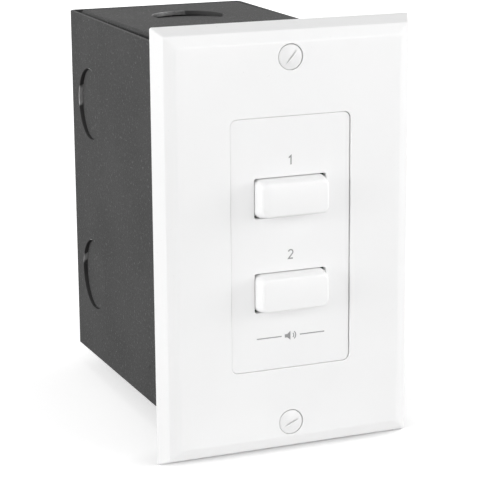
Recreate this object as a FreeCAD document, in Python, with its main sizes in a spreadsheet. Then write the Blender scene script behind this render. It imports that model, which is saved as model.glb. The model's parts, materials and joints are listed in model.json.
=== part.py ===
import FreeCAD, Part
import math
import os

import Sketcher
from FreeCAD import Placement, Rotation, Vector

# In-wall speaker selector: a decorator-style wall plate with two latching push buttons, on a deep
# steel back box. Millimetres. The origin is the centre of the wall plane, where the plate's rim
# bears on the wall. +X is right, +Y goes into the wall and +Z is up, so the front faces -Y.

doc = FreeCAD.newDocument("speaker_selector_switch")
dims = doc.addObject("Spreadsheet::Sheet", "dims")


class Size:
    # A number together with the sheet expression that gives it, so that sums of sizes stay bound.
    def __init__(self, number, text):
        self.number = number
        self.text = text

    def __add__(self, other):
        other = asSize(other)
        return Size(self.number + other.number, f"({self.text} + {other.text})")

    def __sub__(self, other):
        other = asSize(other)
        return Size(self.number - other.number, f"({self.text} - {other.text})")

    def __mul__(self, other):
        other = asSize(other)
        return Size(self.number * other.number, f"({self.text} * {other.text})")

    def __truediv__(self, other):
        other = asSize(other)
        return Size(self.number / other.number, f"({self.text} / {other.text})")

    def __neg__(self):
        return Size(-self.number, f"(0 - {self.text})")

    def __radd__(self, other):
        return asSize(other) + self

    def __rsub__(self, other):
        return asSize(other) - self

    def __rmul__(self, other):
        return asSize(other) * self


def asSize(value):
    return value if isinstance(value, Size) else Size(float(value), f"({float(value)})")


def cell(alias, number):
    row = cell.row = cell.row + 1
    dims.set(f"A{row}", alias)
    dims.set(f"B{row}", str(number))
    dims.setAlias(f"B{row}", alias)
    return Size(float(number), f"dims.{alias}")


cell.row = 0

# Wall plate
plateWidth = cell("plateWidth", 71.5)
plateEnd = cell("plateEnd", 8.73)
plateWall = cell("plateWall", 2.3)
creaseInset = cell("creaseInset", 2.5)
shoulderDrop = cell("shoulderDrop", 1.4)
shoulderInset = cell("shoulderInset", 6.6)
shoulderRadius = cell("shoulderRadius", 14)
creaseRadius = cell("creaseRadius", 0.5)
rimWidth = cell("rimWidth", 3.65)
plateEdgeRadius = cell("plateEdgeRadius", 0.35)
plateGap = cell("plateGap", 0.2)

# Screws through the plate
screwBeyondBezel = cell("screwBeyondBezel", 15.07)
plateScrewHead = cell("plateScrewHead", 3.5)
plateScrewDome = cell("plateScrewDome", 0.55)
plateScrewSlot = cell("plateScrewSlot", 0.8)
plateScrewSlotDepth = cell("plateScrewSlotDepth", 0.9)
screwShank = cell("screwShank", 1.7)
screwFit = cell("screwFit", 0.05)
screwPlay = cell("screwPlay", 0.25)
screwTipGap = cell("screwTipGap", 0.15)
upperSlotAngle = cell("upperSlotAngle", 48)
lowerSlotAngle = cell("lowerSlotAngle", 22)

# Bezel, the panel in the plate's opening
bezelWidth = cell("bezelWidth", 33.3)
bezelHeight = cell("bezelHeight", 66.7)
bezelRadius = cell("bezelRadius", 1.8)
bezelRecess = cell("bezelRecess", 0.25)
bezelFaceWall = cell("bezelFaceWall", 1.9)
bezelSideWall = cell("bezelSideWall", 1.6)
bezelEdgeRadius = cell("bezelEdgeRadius", 0.3)
bezelBossRadius = cell("bezelBossRadius", 2.4)
bezelScrewInsetX = cell("bezelScrewInsetX", 6.65)
bezelScrewInsetZ = cell("bezelScrewInsetZ", 4.85)
bezelScrewRadius = cell("bezelScrewRadius", 1.05)
bezelScrewHead = cell("bezelScrewHead", 2.1)
bezelScrewHeadHeight = cell("bezelScrewHeadHeight", 1.5)
bezelScrewReach = cell("bezelScrewReach", 2.6)

# Buttons
buttonPitch = cell("buttonPitch", 25)
buttonWidth = cell("buttonWidth", 19.5)
buttonHeight = cell("buttonHeight", 9.8)
buttonProud = cell("buttonProud", 3.6)
buttonTravel = cell("buttonTravel", 3)
buttonDraft = cell("buttonDraft", 6)
buttonCornerRadius = cell("buttonCornerRadius", 1.9)
buttonFaceRadius = cell("buttonFaceRadius", 0.85)
buttonPlay = cell("buttonPlay", 0.32)
buttonHoleRadius = cell("buttonHoleRadius", 1.4)
buttonWall = cell("buttonWall", 1.5)
flangeLip = cell("flangeLip", 1.4)
flangeThickness = cell("flangeThickness", 1.2)
stopGap = cell("stopGap", 0.1)
socketRadius = cell("socketRadius", 3)
socketLength = cell("socketLength", 6.2)
socketSkirt = cell("socketSkirt", 1.2)

# Mounting strap
strapThickness = cell("strapThickness", 1.2)
strapSide = cell("strapSide", 4.5)
strapEarWidth = cell("strapEarWidth", 22)
strapEarLength = cell("strapEarLength", 13)
strapMargin = cell("strapMargin", 4)
strapTaper = cell("strapTaper", 4)
windowMargin = cell("windowMargin", 1.8)
collarWall = cell("collarWall", 1.1)
collarHeight = cell("collarHeight", 1.2)
deviceScrewInset = cell("deviceScrewInset", 6.77)
deviceSlotLength = cell("deviceSlotLength", 6.6)
deviceScrewHead = cell("deviceScrewHead", 3.3)
deviceScrewHeadHeight = cell("deviceScrewHeadHeight", 1.6)
deviceScrewHeadRoom = cell("deviceScrewHeadRoom", 0.4)
deviceScrewLength = cell("deviceScrewLength", 8)

# Circuit board and what holds it
boardSide = cell("boardSide", 4.5)
boardEnd = cell("boardEnd", 6.5)
boardThickness = cell("boardThickness", 1.6)
boardRadius = cell("boardRadius", 2)
standoffGap = cell("standoffGap", 0.5)
standoffRadius = cell("standoffRadius", 2.9)
standoffSpigot = cell("standoffSpigot", 2)
standoffBoreDepth = cell("standoffBoreDepth", 7)
boardScrewRadius = cell("boardScrewRadius", 1.45)
boardScrewHead = cell("boardScrewHead", 2.75)
boardScrewHeadHeight = cell("boardScrewHeadHeight", 1.9)
boardScrewReach = cell("boardScrewReach", 6)
pinTail = cell("pinTail", 1.5)
pinPlay = cell("pinPlay", 0.1)
legPlay = cell("legPlay", 0.2)

# Latching push switches
switchFront = cell("switchFront", 3)
switchWall = cell("switchWall", 0.9)
switchFaceWall = cell("switchFaceWall", 1.2)
basePlate = cell("basePlate", 1.6)
closeFit = cell("closeFit", 0.05)
pressGap = cell("pressGap", 0.02)
sliderWidth = cell("sliderWidth", 12.6)
sliderHeight = cell("sliderHeight", 6.4)
sliderLength = cell("sliderLength", 7)
stemSide = cell("stemSide", 3.2)
stemPlay = cell("stemPlay", 0.2)
springRadius = cell("springRadius", 1.9)
springWire = cell("springWire", 0.36)
springTurns = cell("springTurns", 7)
springSeat = cell("springSeat", 4.2)
springPlay = cell("springPlay", 0.3)
springRoom = cell("springRoom", 2.1)
poleSpacing = cell("poleSpacing", 6.8)
bladeSpacing = cell("bladeSpacing", 3)
bladeWidth = cell("bladeWidth", 1.1)
bladeThickness = cell("bladeThickness", 0.4)
bladeTipGap = cell("bladeTipGap", 0.7)
bladeSide = cell("bladeSide", 0.65)
bridgeLength = cell("bridgeLength", 2.2)
bridgeThickness = cell("bridgeThickness", 0.6)
bridgeSink = cell("bridgeSink", 0.3)
bridgeFromFront = cell("bridgeFromFront", 0.8)
latchWire = cell("latchWire", 0.3)
latchPivotFromBase = cell("latchPivotFromBase", 1)
latchArm = cell("latchArm", 6)
latchGap = cell("latchGap", 0.7)
latchSide = cell("latchSide", 0.3)
latchSwing = cell("latchSwing", 7.5)
trackDepth = cell("trackDepth", 0.9)
trackPlay = cell("trackPlay", 0.12)
trackReturn = cell("trackReturn", 1.65)
trackLead = cell("trackLead", 1)

# Screw terminal blocks
blockPitch = cell("blockPitch", 5.08)
blockSpacing = cell("blockSpacing", 25.5)
blockFloor = cell("blockFloor", 1.3)
blockWall = cell("blockWall", 0.9)
cageWidth = cell("cageWidth", 3.6)
cageDepth = cell("cageDepth", 5)
cageLength = cell("cageLength", 4.2)
cageWall = cell("cageWall", 0.5)
cageRoof = cell("cageRoof", 1)
cagePlay = cell("cagePlay", 0.15)
cageRise = cell("cageRise", 0.6)
barRelief = cell("barRelief", 0.4)
barWidth = cell("barWidth", 2.2)
barThickness = cell("barThickness", 0.6)
terminalScrewRadius = cell("terminalScrewRadius", 1.25)
terminalScrewHead = cell("terminalScrewHead", 1.75)
terminalScrewHeadHeight = cell("terminalScrewHeadHeight", 1.5)
wellPlay = cell("wellPlay", 0.15)
wellRim = cell("wellRim", 0.75)
wireEntryHeight = cell("wireEntryHeight", 3)
legWidth = cell("legWidth", 0.8)
legThickness = cell("legThickness", 0.6)
legGap = cell("legGap", 0.8)

# Back box
boxWidth = cell("boxWidth", 54)
boxHeight = cell("boxHeight", 101.6)
boxDepth = cell("boxDepth", 95)
boxSheet = cell("boxSheet", 1.2)
boxBend = cell("boxBend", 2)
sideDrop = cell("sideDrop", 0.5)
flangeGap = cell("flangeGap", 0.08)
bendRelief = cell("bendRelief", 2.6)
earWidth = cell("earWidth", 16)
earPast = cell("earPast", 4.05)
knockoutRadius = cell("knockoutRadius", 10.25)
knockoutGap = cell("knockoutGap", 0.25)
knockoutSink = cell("knockoutSink", 1)
knockoutTab = cell("knockoutTab", 3)
flangeClear = cell("flangeClear", 1.15)
sideKnockoutFromBack = cell("sideKnockoutFromBack", 17.9)
sideKnockoutPitch = cell("sideKnockoutPitch", 50.8)
capKnockoutFromBack = cell("capKnockoutFromBack", 27.6)
studHoleRadius = cell("studHoleRadius", 2.4)
studHolePitch = cell("studHolePitch", 50.8)
studHoleFromFront = cell("studHoleFromFront", 40)

# Sizes that follow from the pieces that they carry or pass
plateScrewPitch = bezelHeight + screwBeyondBezel * 2
plateHeight = plateScrewPitch + plateEnd * 2
deviceScrewPitch = plateScrewPitch - deviceScrewInset * 2
bezelScrewSpanX = bezelWidth - bezelScrewInsetX * 2
fastenerSpanZ = bezelHeight - bezelScrewInsetZ * 2
standoffSpanX = bezelScrewSpanX + (bezelScrewHead + standoffRadius + standoffGap) * 2
strapWidth = standoffSpanX + strapSide * 2
boardWidth = standoffSpanX + boardSide * 2
boardHeight = fastenerSpanZ + boardEnd * 2
bladeInside = sliderHeight / 2 + bridgeThickness - bridgeSink + closeFit
switchWidth = (sliderWidth / 2 + latchGap + latchWire + latchSide + switchWall) * 2
switchHeight = (bladeInside + bladeThickness + bladeSide + switchWall) * 2
pinHoleRadius = bladeWidth / 2 + pinPlay
legHoleRadius = legWidth / 2 + legPlay
blockHeight = blockWall * 2 + cagePlay * 4 + cageLength + legGap + legThickness
flangeEnd = sideKnockoutPitch / 2 + knockoutRadius + flangeClear

# Places along Y that several pieces share
strapFace = -strapThickness
plateInside = strapFace - deviceScrewHeadHeight - deviceScrewHeadRoom
plateFace = plateInside - plateWall
creaseFace = plateFace + shoulderDrop
collarFace = strapFace - collarHeight
bezelFace = plateFace + bezelRecess
bezelInside = bezelFace + bezelFaceWall
buttonFace = plateFace - buttonProud
flangeFace = bezelInside + stopGap
flangeBack = flangeFace + flangeThickness
sliderFront = switchFront + switchFaceWall + stopGap
sliderBack = sliderFront + sliderLength
baseFront = sliderBack + buttonTravel + springRoom
boardFront = baseFront + basePlate
boardBack = boardFront + boardThickness
bridgeFront = sliderFront + bridgeFromFront
socketBack = flangeBack + socketSkirt
socketFront = socketBack - socketLength
stemTip = socketFront + stopGap
bladeTip = bridgeFront + bridgeLength + bladeTipGap
latchPivot = baseFront - latchPivotFromBase
latchTip = latchPivot - latchArm
cageFront = boardBack + blockFloor + cagePlay
roomBack = cageFront + cageDepth + cageRise
headSeat = roomBack + blockWall
blockBack = headSeat + terminalScrewHeadHeight + wellRim
barBack = cageFront + cageDepth - cageRoof - barRelief

# Places across a terminal block
cageEnd = blockHeight / 2 - blockWall - cagePlay * 3
cageMiddle = cageEnd - cageLength / 2
legPlace = blockHeight / 2 - blockWall - legThickness / 2 - cagePlay

# Each terminal block's name, its height above the centre and the way that its wires leave
terminalBlocks = [
    ("terminal_in", asSize(0), 1),
    ("terminal_out_1", blockSpacing, 1),
    ("terminal_out_2", -blockSpacing, -1),
]

planes = {"XY": ("XY_Plane", 1), "XZ": ("XZ_Plane", -1), "YZ": ("YZ_Plane", 1)}


def bind(item, prop, value):
    item.setExpression(prop, asSize(value).text)


def moveTo(item, x=0, y=0, z=0):
    for letter, value in zip("xyz", (x, y, z)):
        bind(item, f"Placement.Base.{letter}", value)
    return item


def newBody(label):
    body = doc.addObject("PartDesign::Body", label)
    body.Label = label
    return body


def newSketch(body, plane, level):
    # A sketch on one of the body's origin planes, moved along the plane's axis to a level.
    role, sign = planes[plane]
    sketch = body.newObject("Sketcher::SketchObject", body.Label + "_sketch")
    origin = next(item for item in body.Origin.OriginFeatures if item.Role == role)
    sketch.AttachmentSupport = (origin, "")
    sketch.MapMode = "FlatFace"
    bind(sketch, "AttachmentOffset.Base.z", asSize(level) * sign)
    return sketch


def pinPoint(sketch, line, end, point):
    # Fix one end of a line, or a centre, to its two coordinates.
    for kind, axis, value in (("DistanceX", -2, point[0]), ("DistanceY", -1, point[1])):
        value = asSize(value)
        if abs(value.number) < 1e-9:
            sketch.addConstraint(Sketcher.Constraint("PointOnObject", line, end, axis))
        else:
            rule = Sketcher.Constraint(kind, -1, 1, line, end, value.number)
            index = sketch.addConstraint(rule)
            bind(sketch, f"Constraints[{index}]", value)


def drawPolygon(sketch, points, domed=False):
    # A closed outline. Where it is domed, the first side is an arc centred on the sketch's Y axis.
    first = sketch.GeometryCount
    corners = [Vector(asSize(x).number, asSize(y).number, 0) for x, y in points]
    count = len(points)
    for i in range(count):
        side = Part.LineSegment(corners[i], corners[(i + 1) % count])
        if domed and i == 0:
            rise = corners[1].y - corners[0].y
            reach = corners[1].x
            middle = Vector(reach / 2, corners[0].y + rise / 4, 0)
            side = Part.Arc(corners[0], middle, corners[1])
        sketch.addGeometry(side)
    for i in range(count):
        following = first + (i + 1) % count
        sketch.addConstraint(Sketcher.Constraint("Coincident", first + i, 2, following, 1))
        pinPoint(sketch, first + i, 1, points[i])
    if domed:
        sketch.addConstraint(Sketcher.Constraint("PointOnObject", first, 3, -2))


def drawCircle(sketch, point, radius):
    centre = Vector(asSize(point[0]).number, asSize(point[1]).number, 0)
    radius = asSize(radius)
    line = sketch.addGeometry(Part.Circle(centre, Vector(0, 0, 1), radius.number))
    pinPoint(sketch, line, 3, point)
    index = sketch.addConstraint(Sketcher.Constraint("Radius", line, radius.number))
    bind(sketch, f"Constraints[{index}]", radius)


def sine(angle):
    return Size(math.sin(math.radians(angle.number)), f"sin({angle.text})")


def rect(centre, width, height):
    x, y = centre
    return [
        (x - width / 2, y - height / 2),
        (x + width / 2, y - height / 2),
        (x + width / 2, y + height / 2),
        (x - width / 2, y + height / 2),
    ]


def circle(centre, radius):
    return (centre, radius)


def draw(sketch, outlines):
    for outline in outlines:
        if isinstance(outline, list):
            drawPolygon(sketch, outline)
        else:
            drawCircle(sketch, *outline)


def pad(body, plane, low, high, outlines, draft=None):
    # Material between two levels along the plane's axis. On XZ the sketch faces -Y, so it lies at
    # the high level and a draft narrows the pad towards the front.
    sketch = newSketch(body, plane, high if plane == "XZ" else low)
    draw(sketch, outlines)
    feature = body.newObject("PartDesign::Pad", body.Label + "_pad")
    feature.Profile = sketch
    bind(feature, "Length", high - low)
    if draft:
        bind(feature, "TaperAngle", -draft)
    return feature


def pocket(body, plane, low, high, outlines):
    doc.recompute([body])
    before = body.Shape.Volume
    sketch = newSketch(body, plane, low if plane == "XZ" else high)
    draw(sketch, outlines)
    feature = body.newObject("PartDesign::Pocket", body.Label + "_pocket")
    feature.Profile = sketch
    bind(feature, "Length", high - low)
    doc.recompute([body])
    if body.Shape.Volume > before - 1e-6:
        raise ValueError(f"a pocket in {body.Label} removes nothing")
    return feature


def edgesAt(x=None, y=None, z=None):
    # Picks the edges that lie wholly at the given coordinates; x and z count on both sides.
    wanted = [(0, x, abs), (1, y, float), (2, z, abs)]
    wanted = [(i, asSize(value).number, side) for i, value, side in wanted if value is not None]

    def chosen(edge):
        points = [edge.valueAt(t) for t in (edge.FirstParameter, edge.LastParameter)]
        points.append(edge.valueAt((edge.FirstParameter + edge.LastParameter) / 2))
        return all(abs(side(p[i]) - value) < 1e-3 for p in points for i, value, side in wanted)

    return chosen


def roundEdges(body, radius, *choices, kind="Fillet"):
    doc.recompute([body])
    base = body.Tip
    names = []
    for i, edge in enumerate(base.Shape.Edges):
        if any(chosen(edge) for chosen in choices):
            names.append(f"Edge{i + 1}")
    if not names:
        raise ValueError(f"no edge to round on {body.Label}")
    feature = body.newObject(f"PartDesign::{kind}", f"{body.Label}_{kind}")
    feature.Base = (base, names)
    bind(feature, "Radius" if kind == "Fillet" else "Size", radius)
    return feature


def edgesAlongDepth(shortest):
    # Picks edges that run from front to back, drafted ones too.
    return lambda edge: abs(edge.Vertexes[0].Y - edge.Vertexes[-1].Y) > shortest


def edgesWithin(x, z, y):
    # Picks the edges on the plane at y that lie inside a rectangle about the centre.
    x, y, z = (asSize(value).number + 1e-3 for value in (x, y, z))

    def chosen(edge):
        box = edge.BoundBox
        flat = abs(box.YMax - y) < 0.01 and abs(box.YMin - y) < 0.01
        return flat and max(-box.XMin, box.XMax) < x and max(-box.ZMin, box.ZMax) < z

    return chosen


def turned(body, points, domed=False):
    # A solid of revolution about Y from a half profile of (radius, y) points.
    sketch = newSketch(body, "XY", 0)
    drawPolygon(sketch, points, domed)
    feature = body.newObject("PartDesign::Revolution", body.Label + "_turned")
    feature.Profile = sketch
    feature.ReferenceAxis = (sketch, ["V_Axis"])
    feature.Angle = 360
    return feature


def copyOf(master, label, x=0, y=0, z=0, axis=None, angle=0):
    link = doc.addObject("App::Link", label)
    link.LinkedObject = master
    link.LinkTransform = False
    if axis:
        link.Placement = Placement(Vector(), Rotation(axis, asSize(angle).number))
        bind(link, "Placement.Rotation.Angle", angle)
    return moveTo(link, x, y, z)


def group(label, members):
    compound = doc.addObject("Part::Compound", label)
    compound.Label = label
    compound.Links = members
    return compound


def block(label, low, high):
    box = doc.addObject("Part::Box", label)
    for prop, a, b in zip(("Length", "Width", "Height"), low, high):
        bind(box, prop, b - asSize(a))
    return moveTo(box, *low)


def rod(label, radius, start, length, axis):
    # A round bar from a start point along +X or +Y.
    cylinder = doc.addObject("Part::Cylinder", label)
    bind(cylinder, "Radius", radius)
    bind(cylinder, "Height", length)
    turn = Rotation(Vector(0, 1, 0), 90) if axis == "X" else Rotation(Vector(1, 0, 0), -90)
    cylinder.Placement = Placement(Vector(), turn)
    return moveTo(cylinder, *start)


def ball(label, radius, centre):
    sphere = doc.addObject("Part::Sphere", label)
    bind(sphere, "Radius", radius)
    return moveTo(sphere, *centre)


def fuse(label, members):
    joined = doc.addObject("Part::MultiFuse", label)
    joined.Label = label
    joined.Shapes = members
    joined.Refine = True
    return joined


def cornersOf(spanX, spanZ):
    return [(spanX * (i / 2), spanZ * (j / 2)) for i in (-1, 1) for j in (-1, 1)]


def endsOf(span):
    return [(0, span / 2), (0, -(span / 2))]


def headedScrew(label, headRadius, headHeight, shankRadius, length):
    # A slotted screw along Y: its head stands in front of y = 0 and its shank behind.
    body = newBody(label)
    soft = headHeight * 0.3
    profile = [
        (0, -headHeight),
        (headRadius - soft, -headHeight),
        (headRadius, soft - headHeight),
        (headRadius, 0),
        (shankRadius, 0),
        (shankRadius, length - shankRadius * 0.3),
        (shankRadius * 0.7, length),
        (0, length),
    ]
    turned(body, profile)
    slot = rect((0, 0), headRadius * 3, headRadius * 0.3)
    pocket(body, "XZ", -headHeight * 2, -headHeight * 0.5, [slot])
    return body


def makeWallPlate():
    body = newBody("wall_plate")
    halfWidth = plateWidth / 2
    halfHeight = plateHeight / 2
    profile = [
        (-halfWidth, 0),
        (halfWidth, 0),
        (halfWidth - creaseInset, creaseFace),
        (halfWidth - shoulderInset, plateFace),
        (shoulderInset - halfWidth, plateFace),
        (creaseInset - halfWidth, creaseFace),
    ]
    pad(body, "XY", -halfHeight, halfHeight, [profile])
    ends = []
    for side in (1, -1):
        ends.append(
            [
                (0, halfHeight * side),
                (creaseFace, (halfHeight - creaseInset) * side),
                (plateFace, (halfHeight - shoulderInset) * side),
                (plateFace * 2, (halfHeight - shoulderInset) * side),
                (plateFace * 2, halfHeight * 2 * side),
                (0, halfHeight * 2 * side),
            ]
        )
    pocket(body, "YZ", -plateWidth, plateWidth, ends)
    roundEdges(body, shoulderRadius, edgesAt(y=plateFace))
    roundEdges(body, creaseRadius, edgesAt(y=creaseFace))
    hollow = rect((0, 0), plateWidth - rimWidth * 2, plateHeight - rimWidth * 2)
    pocket(body, "XZ", plateInside, 0, [hollow])
    places = endsOf(plateScrewPitch)
    openWidth = bezelWidth + plateGap * 2
    openHeight = bezelHeight + plateGap * 2
    pocket(body, "XZ", plateFace * 2, 0, [rect((0, 0), openWidth, openHeight)])
    roundEdges(body, bezelRadius + plateGap, edgesAt(x=openWidth / 2, z=openHeight / 2))
    roundEdges(body, plateEdgeRadius, edgesWithin(openWidth / 2, openHeight / 2, plateFace))
    hole = screwShank + screwPlay
    pocket(body, "XZ", plateFace * 2, 0, [circle(place, hole) for place in places])
    rims = []
    for place in places:
        rims.append(holeRim(place, hole, plateFace))
    roundEdges(body, plateScrewHead + screwFit - hole, *rims, kind="Chamfer")
    return body


def holeRim(place, radius, y):
    # Picks the round edge of a hole along Y.
    x, z, radius, y = (asSize(value).number for value in (*place, radius, y))

    def chosen(edge):
        if not isinstance(edge.Curve, Part.Circle):
            return False
        gap = edge.Curve.Center.distanceToPoint(Vector(x, y, z))
        return gap < 1e-3 and abs(edge.Curve.Radius - radius) < 1e-3

    return chosen


def makePlateScrews():
    # Oval-headed screws, countersunk in the plate and threaded into the strap's collars.
    master = newBody("plate_screw")
    cone = plateScrewHead - screwShank
    tip = -plateFace - screwTipGap
    profile = [
        (0, -plateScrewDome),
        (plateScrewHead, 0),
        (plateScrewHead, screwFit),
        (screwShank, cone + screwFit),
        (screwShank, tip),
        (0, tip),
    ]
    turned(master, profile, domed=True)
    slot = rect((0, 0), plateScrewHead * 3, plateScrewSlot)
    slotFloor = plateScrewSlotDepth - plateScrewDome
    pocket(master, "XZ", -plateScrewDome * 2, slotFloor, [slot])
    screws = []
    for place, angle in zip(endsOf(plateScrewPitch), (upperSlotAngle, lowerSlotAngle)):
        label = f"plate_screw_{len(screws) + 1}"
        x, z = place
        screws.append(copyOf(master, label, x, plateFace, z, Vector(0, -1, 0), angle))
    return group("plate_screws", screws)


def makeBezel():
    body = newBody("front_bezel")
    pad(body, "XZ", bezelFace, strapFace, [rect((0, 0), bezelWidth, bezelHeight)])
    roundEdges(body, bezelRadius, edgesAt(x=bezelWidth / 2, z=bezelHeight / 2))
    roundEdges(body, bezelEdgeRadius, edgesAt(y=bezelFace))
    inside = rect((0, 0), bezelWidth - bezelSideWall * 2, bezelHeight - bezelSideWall * 2)
    pocket(body, "XZ", bezelInside, 0, [inside])
    screws = cornersOf(bezelScrewSpanX, fastenerSpanZ)
    pilot = bezelScrewRadius + screwFit
    middle = bezelInside - bezelFaceWall / 2
    pad(body, "XZ", middle, strapFace, [circle(place, bezelBossRadius) for place in screws])
    pilotEnd = strapFace - bezelScrewReach - screwTipGap
    pocket(body, "XZ", pilotEnd, 0, [circle(place, pilot) for place in screws])
    width = buttonWidth + buttonPlay * 2
    height = buttonHeight + buttonPlay * 2
    holes = [rect(place, width, height) for place in endsOf(buttonPitch)]
    pocket(body, "XZ", bezelFace * 2, 0, holes)
    upper = edgesAt(x=width / 2, z=buttonPitch / 2 + height / 2)
    lower = edgesAt(x=width / 2, z=buttonPitch / 2 - height / 2)
    roundEdges(body, buttonHoleRadius, upper, lower)
    inner = edgesWithin(width / 2, buttonPitch / 2 + height / 2, bezelFace)
    roundEdges(body, bezelEdgeRadius / 2, inner)
    return body


def makeBezelScrews():
    length = strapThickness + bezelScrewReach
    master = headedScrew(
        "bezel_screw", bezelScrewHead, bezelScrewHeadHeight, bezelScrewRadius, length
    )
    copies = []
    for x, z in cornersOf(bezelScrewSpanX, fastenerSpanZ):
        label = f"bezel_screw_{len(copies) + 1}"
        copies.append(copyOf(master, label, x, 0, z, Vector(1, 0, 0), 180))
    return group("bezel_screws", copies)


def makeButton(number, z):
    body = newBody(f"button_{number}")
    outline = rect((0, 0), buttonWidth, buttonHeight)
    pad(body, "XZ", bezelFace, flangeBack, [outline])
    pad(body, "XZ", buttonFace, bezelFace, [outline], draft=buttonDraft)
    roundEdges(body, buttonCornerRadius, edgesAlongDepth(1))
    roundEdges(body, buttonFaceRadius, edgesAt(y=buttonFace))
    flange = rect((0, 0), buttonWidth + flangeLip * 2, buttonHeight + flangeLip * 2)
    pad(body, "XZ", flangeFace, flangeBack, [flange])
    inside = buttonFace + buttonWall
    hollow = rect((0, 0), buttonWidth - buttonWall * 2, buttonHeight - buttonWall * 2)
    pocket(body, "XZ", inside, flangeBack, [hollow])
    pad(body, "XZ", inside - buttonWall / 2, socketBack, [circle((0, 0), socketRadius)])
    side = stemSide + closeFit * 2
    pocket(body, "XZ", socketFront, socketBack, [rect((0, 0), side, side)])
    return moveTo(body, z=z)


def makeStrap():
    # Flat steel yoke: the box, bezel, plate and board all fasten to it.
    body = newBody("mounting_strap")
    top = plateScrewPitch / 2 + strapMargin
    shoulder = top - strapEarLength
    wide = strapWidth / 2
    narrow = strapEarWidth / 2
    right = [
        (narrow, -top),
        (narrow, -shoulder),
        (wide, strapTaper - shoulder),
        (wide, shoulder - strapTaper),
        (narrow, shoulder),
        (narrow, top),
    ]
    left = [(-x, -z) for x, z in right]
    pad(body, "XZ", strapFace, 0, [right + left])
    places = endsOf(plateScrewPitch)
    thread = screwShank + screwFit
    pad(body, "XZ", collarFace, 0, [circle(place, thread + collarWall) for place in places])
    pocket(body, "XZ", collarFace * 2, 0, [circle(place, thread) for place in places])
    windowWidth = buttonWidth + (flangeLip + windowMargin) * 2
    windowHeight = buttonPitch + buttonHeight + (flangeLip + windowMargin) * 2
    pocket(body, "XZ", collarFace, 0, [rect((0, 0), windowWidth, windowHeight)])
    slotRadius = screwShank + screwPlay
    reach = deviceSlotLength / 2 - slotRadius
    for x in (-reach, reach):
        rounds = [circle((x, z), slotRadius) for _, z in endsOf(deviceScrewPitch)]
        pocket(body, "XZ", collarFace, 0, rounds)
    straights = [rect(place, reach * 2, slotRadius * 2) for place in endsOf(deviceScrewPitch)]
    pocket(body, "XZ", collarFace, 0, straights)
    holes = []
    for place in cornersOf(standoffSpanX, fastenerSpanZ):
        holes.append(circle(place, standoffSpigot + pressGap))
    for place in cornersOf(bezelScrewSpanX, fastenerSpanZ):
        holes.append(circle(place, bezelScrewRadius + screwPlay / 2))
    pocket(body, "XZ", collarFace, 0, holes)
    return body


def makeDeviceScrews():
    master = headedScrew(
        "device_screw", deviceScrewHead, deviceScrewHeadHeight, screwShank, deviceScrewLength
    )
    copies = []
    for x, z in endsOf(deviceScrewPitch):
        copies.append(copyOf(master, f"device_screw_{len(copies) + 1}", x, strapFace, z))
    return group("device_screws", copies)


def makeStandoffs():
    # Hexagonal posts, each pressed into the strap by a round spigot.
    master = newBody("board_standoff")
    hexagon = []
    for i in range(6):
        angle = math.radians(60 * i)
        hexagon.append((standoffRadius * math.cos(angle), standoffRadius * math.sin(angle)))
    pad(master, "XZ", 0, boardFront, [hexagon])
    pad(master, "XZ", strapFace, 0, [circle((0, 0), standoffSpigot)])
    bore = circle((0, 0), boardScrewRadius + screwFit)
    pocket(master, "XZ", boardFront - standoffBoreDepth, boardFront, [bore])
    copies = []
    for x, z in cornersOf(standoffSpanX, fastenerSpanZ):
        copies.append(copyOf(master, f"board_standoff_{len(copies) + 1}", x, 0, z))
    return group("board_standoffs", copies)


def makeBoardScrews():
    length = boardThickness + boardScrewReach
    master = headedScrew(
        "board_screw", boardScrewHead, boardScrewHeadHeight, boardScrewRadius, length
    )
    copies = []
    for x, z in cornersOf(standoffSpanX, fastenerSpanZ):
        label = f"board_screw_{len(copies) + 1}"
        copies.append(copyOf(master, label, x, boardBack, z, Vector(1, 0, 0), 180))
    return group("board_screws", copies)


def bladePlaces():
    # Centres, across the switch, of its eight contact blades.
    places = []
    for side in (-1, 1):
        for pole in (-0.5, 0.5):
            for blade in (-0.5, 0.5):
                x = poleSpacing * pole + bladeSpacing * blade
                places.append((x, (bladeInside + bladeThickness / 2) * side))
    return places


def polePlaces():
    # Centres, across a terminal block, of its four clamp screws.
    return [(blockPitch * (i - 1.5), cageMiddle) for i in range(4)]


def makeBoard():
    body = newBody("circuit_board")
    pad(body, "XZ", boardFront, boardBack, [rect((0, 0), boardWidth, boardHeight)])
    roundEdges(body, boardRadius, edgesAt(x=boardWidth / 2, z=boardHeight / 2))
    holes = []
    for place in cornersOf(standoffSpanX, fastenerSpanZ):
        holes.append(circle(place, boardScrewRadius + screwPlay / 2))
    for _, centre in endsOf(buttonPitch):
        for x, z in bladePlaces():
            holes.append(circle((x, z + centre), pinHoleRadius))
    for _, centre, up in terminalBlocks:
        for x, _ in polePlaces():
            holes.append(circle((x, centre - legPlace * up), legHoleRadius))
    pocket(body, "XZ", boardFront, boardBack, holes)
    return body


def makeSwitchHousing(number, z):
    body = newBody(f"switch_{number}_housing")
    pad(body, "XZ", switchFront, boardFront, [rect((0, 0), switchWidth, switchHeight)])
    roundEdges(body, switchWall * 0.6, edgesAt(x=switchWidth / 2, z=switchHeight / 2))
    inside = switchFront + switchFaceWall
    room = rect((0, 0), switchWidth - switchWall * 2, switchHeight - switchWall * 2)
    pocket(body, "XZ", inside, boardFront, [room])
    side = stemSide + stemPlay * 2
    pocket(body, "XZ", switchFront / 2, inside, [rect((0, 0), side, side)])
    wall = switchWidth / 2 - switchWall
    pivot = circle((latchPivot, 0), latchWire + closeFit)
    pocket(body, "YZ", wall - switchWall, wall + switchWall * 0.7, [pivot])
    return moveTo(body, z=z)


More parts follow.
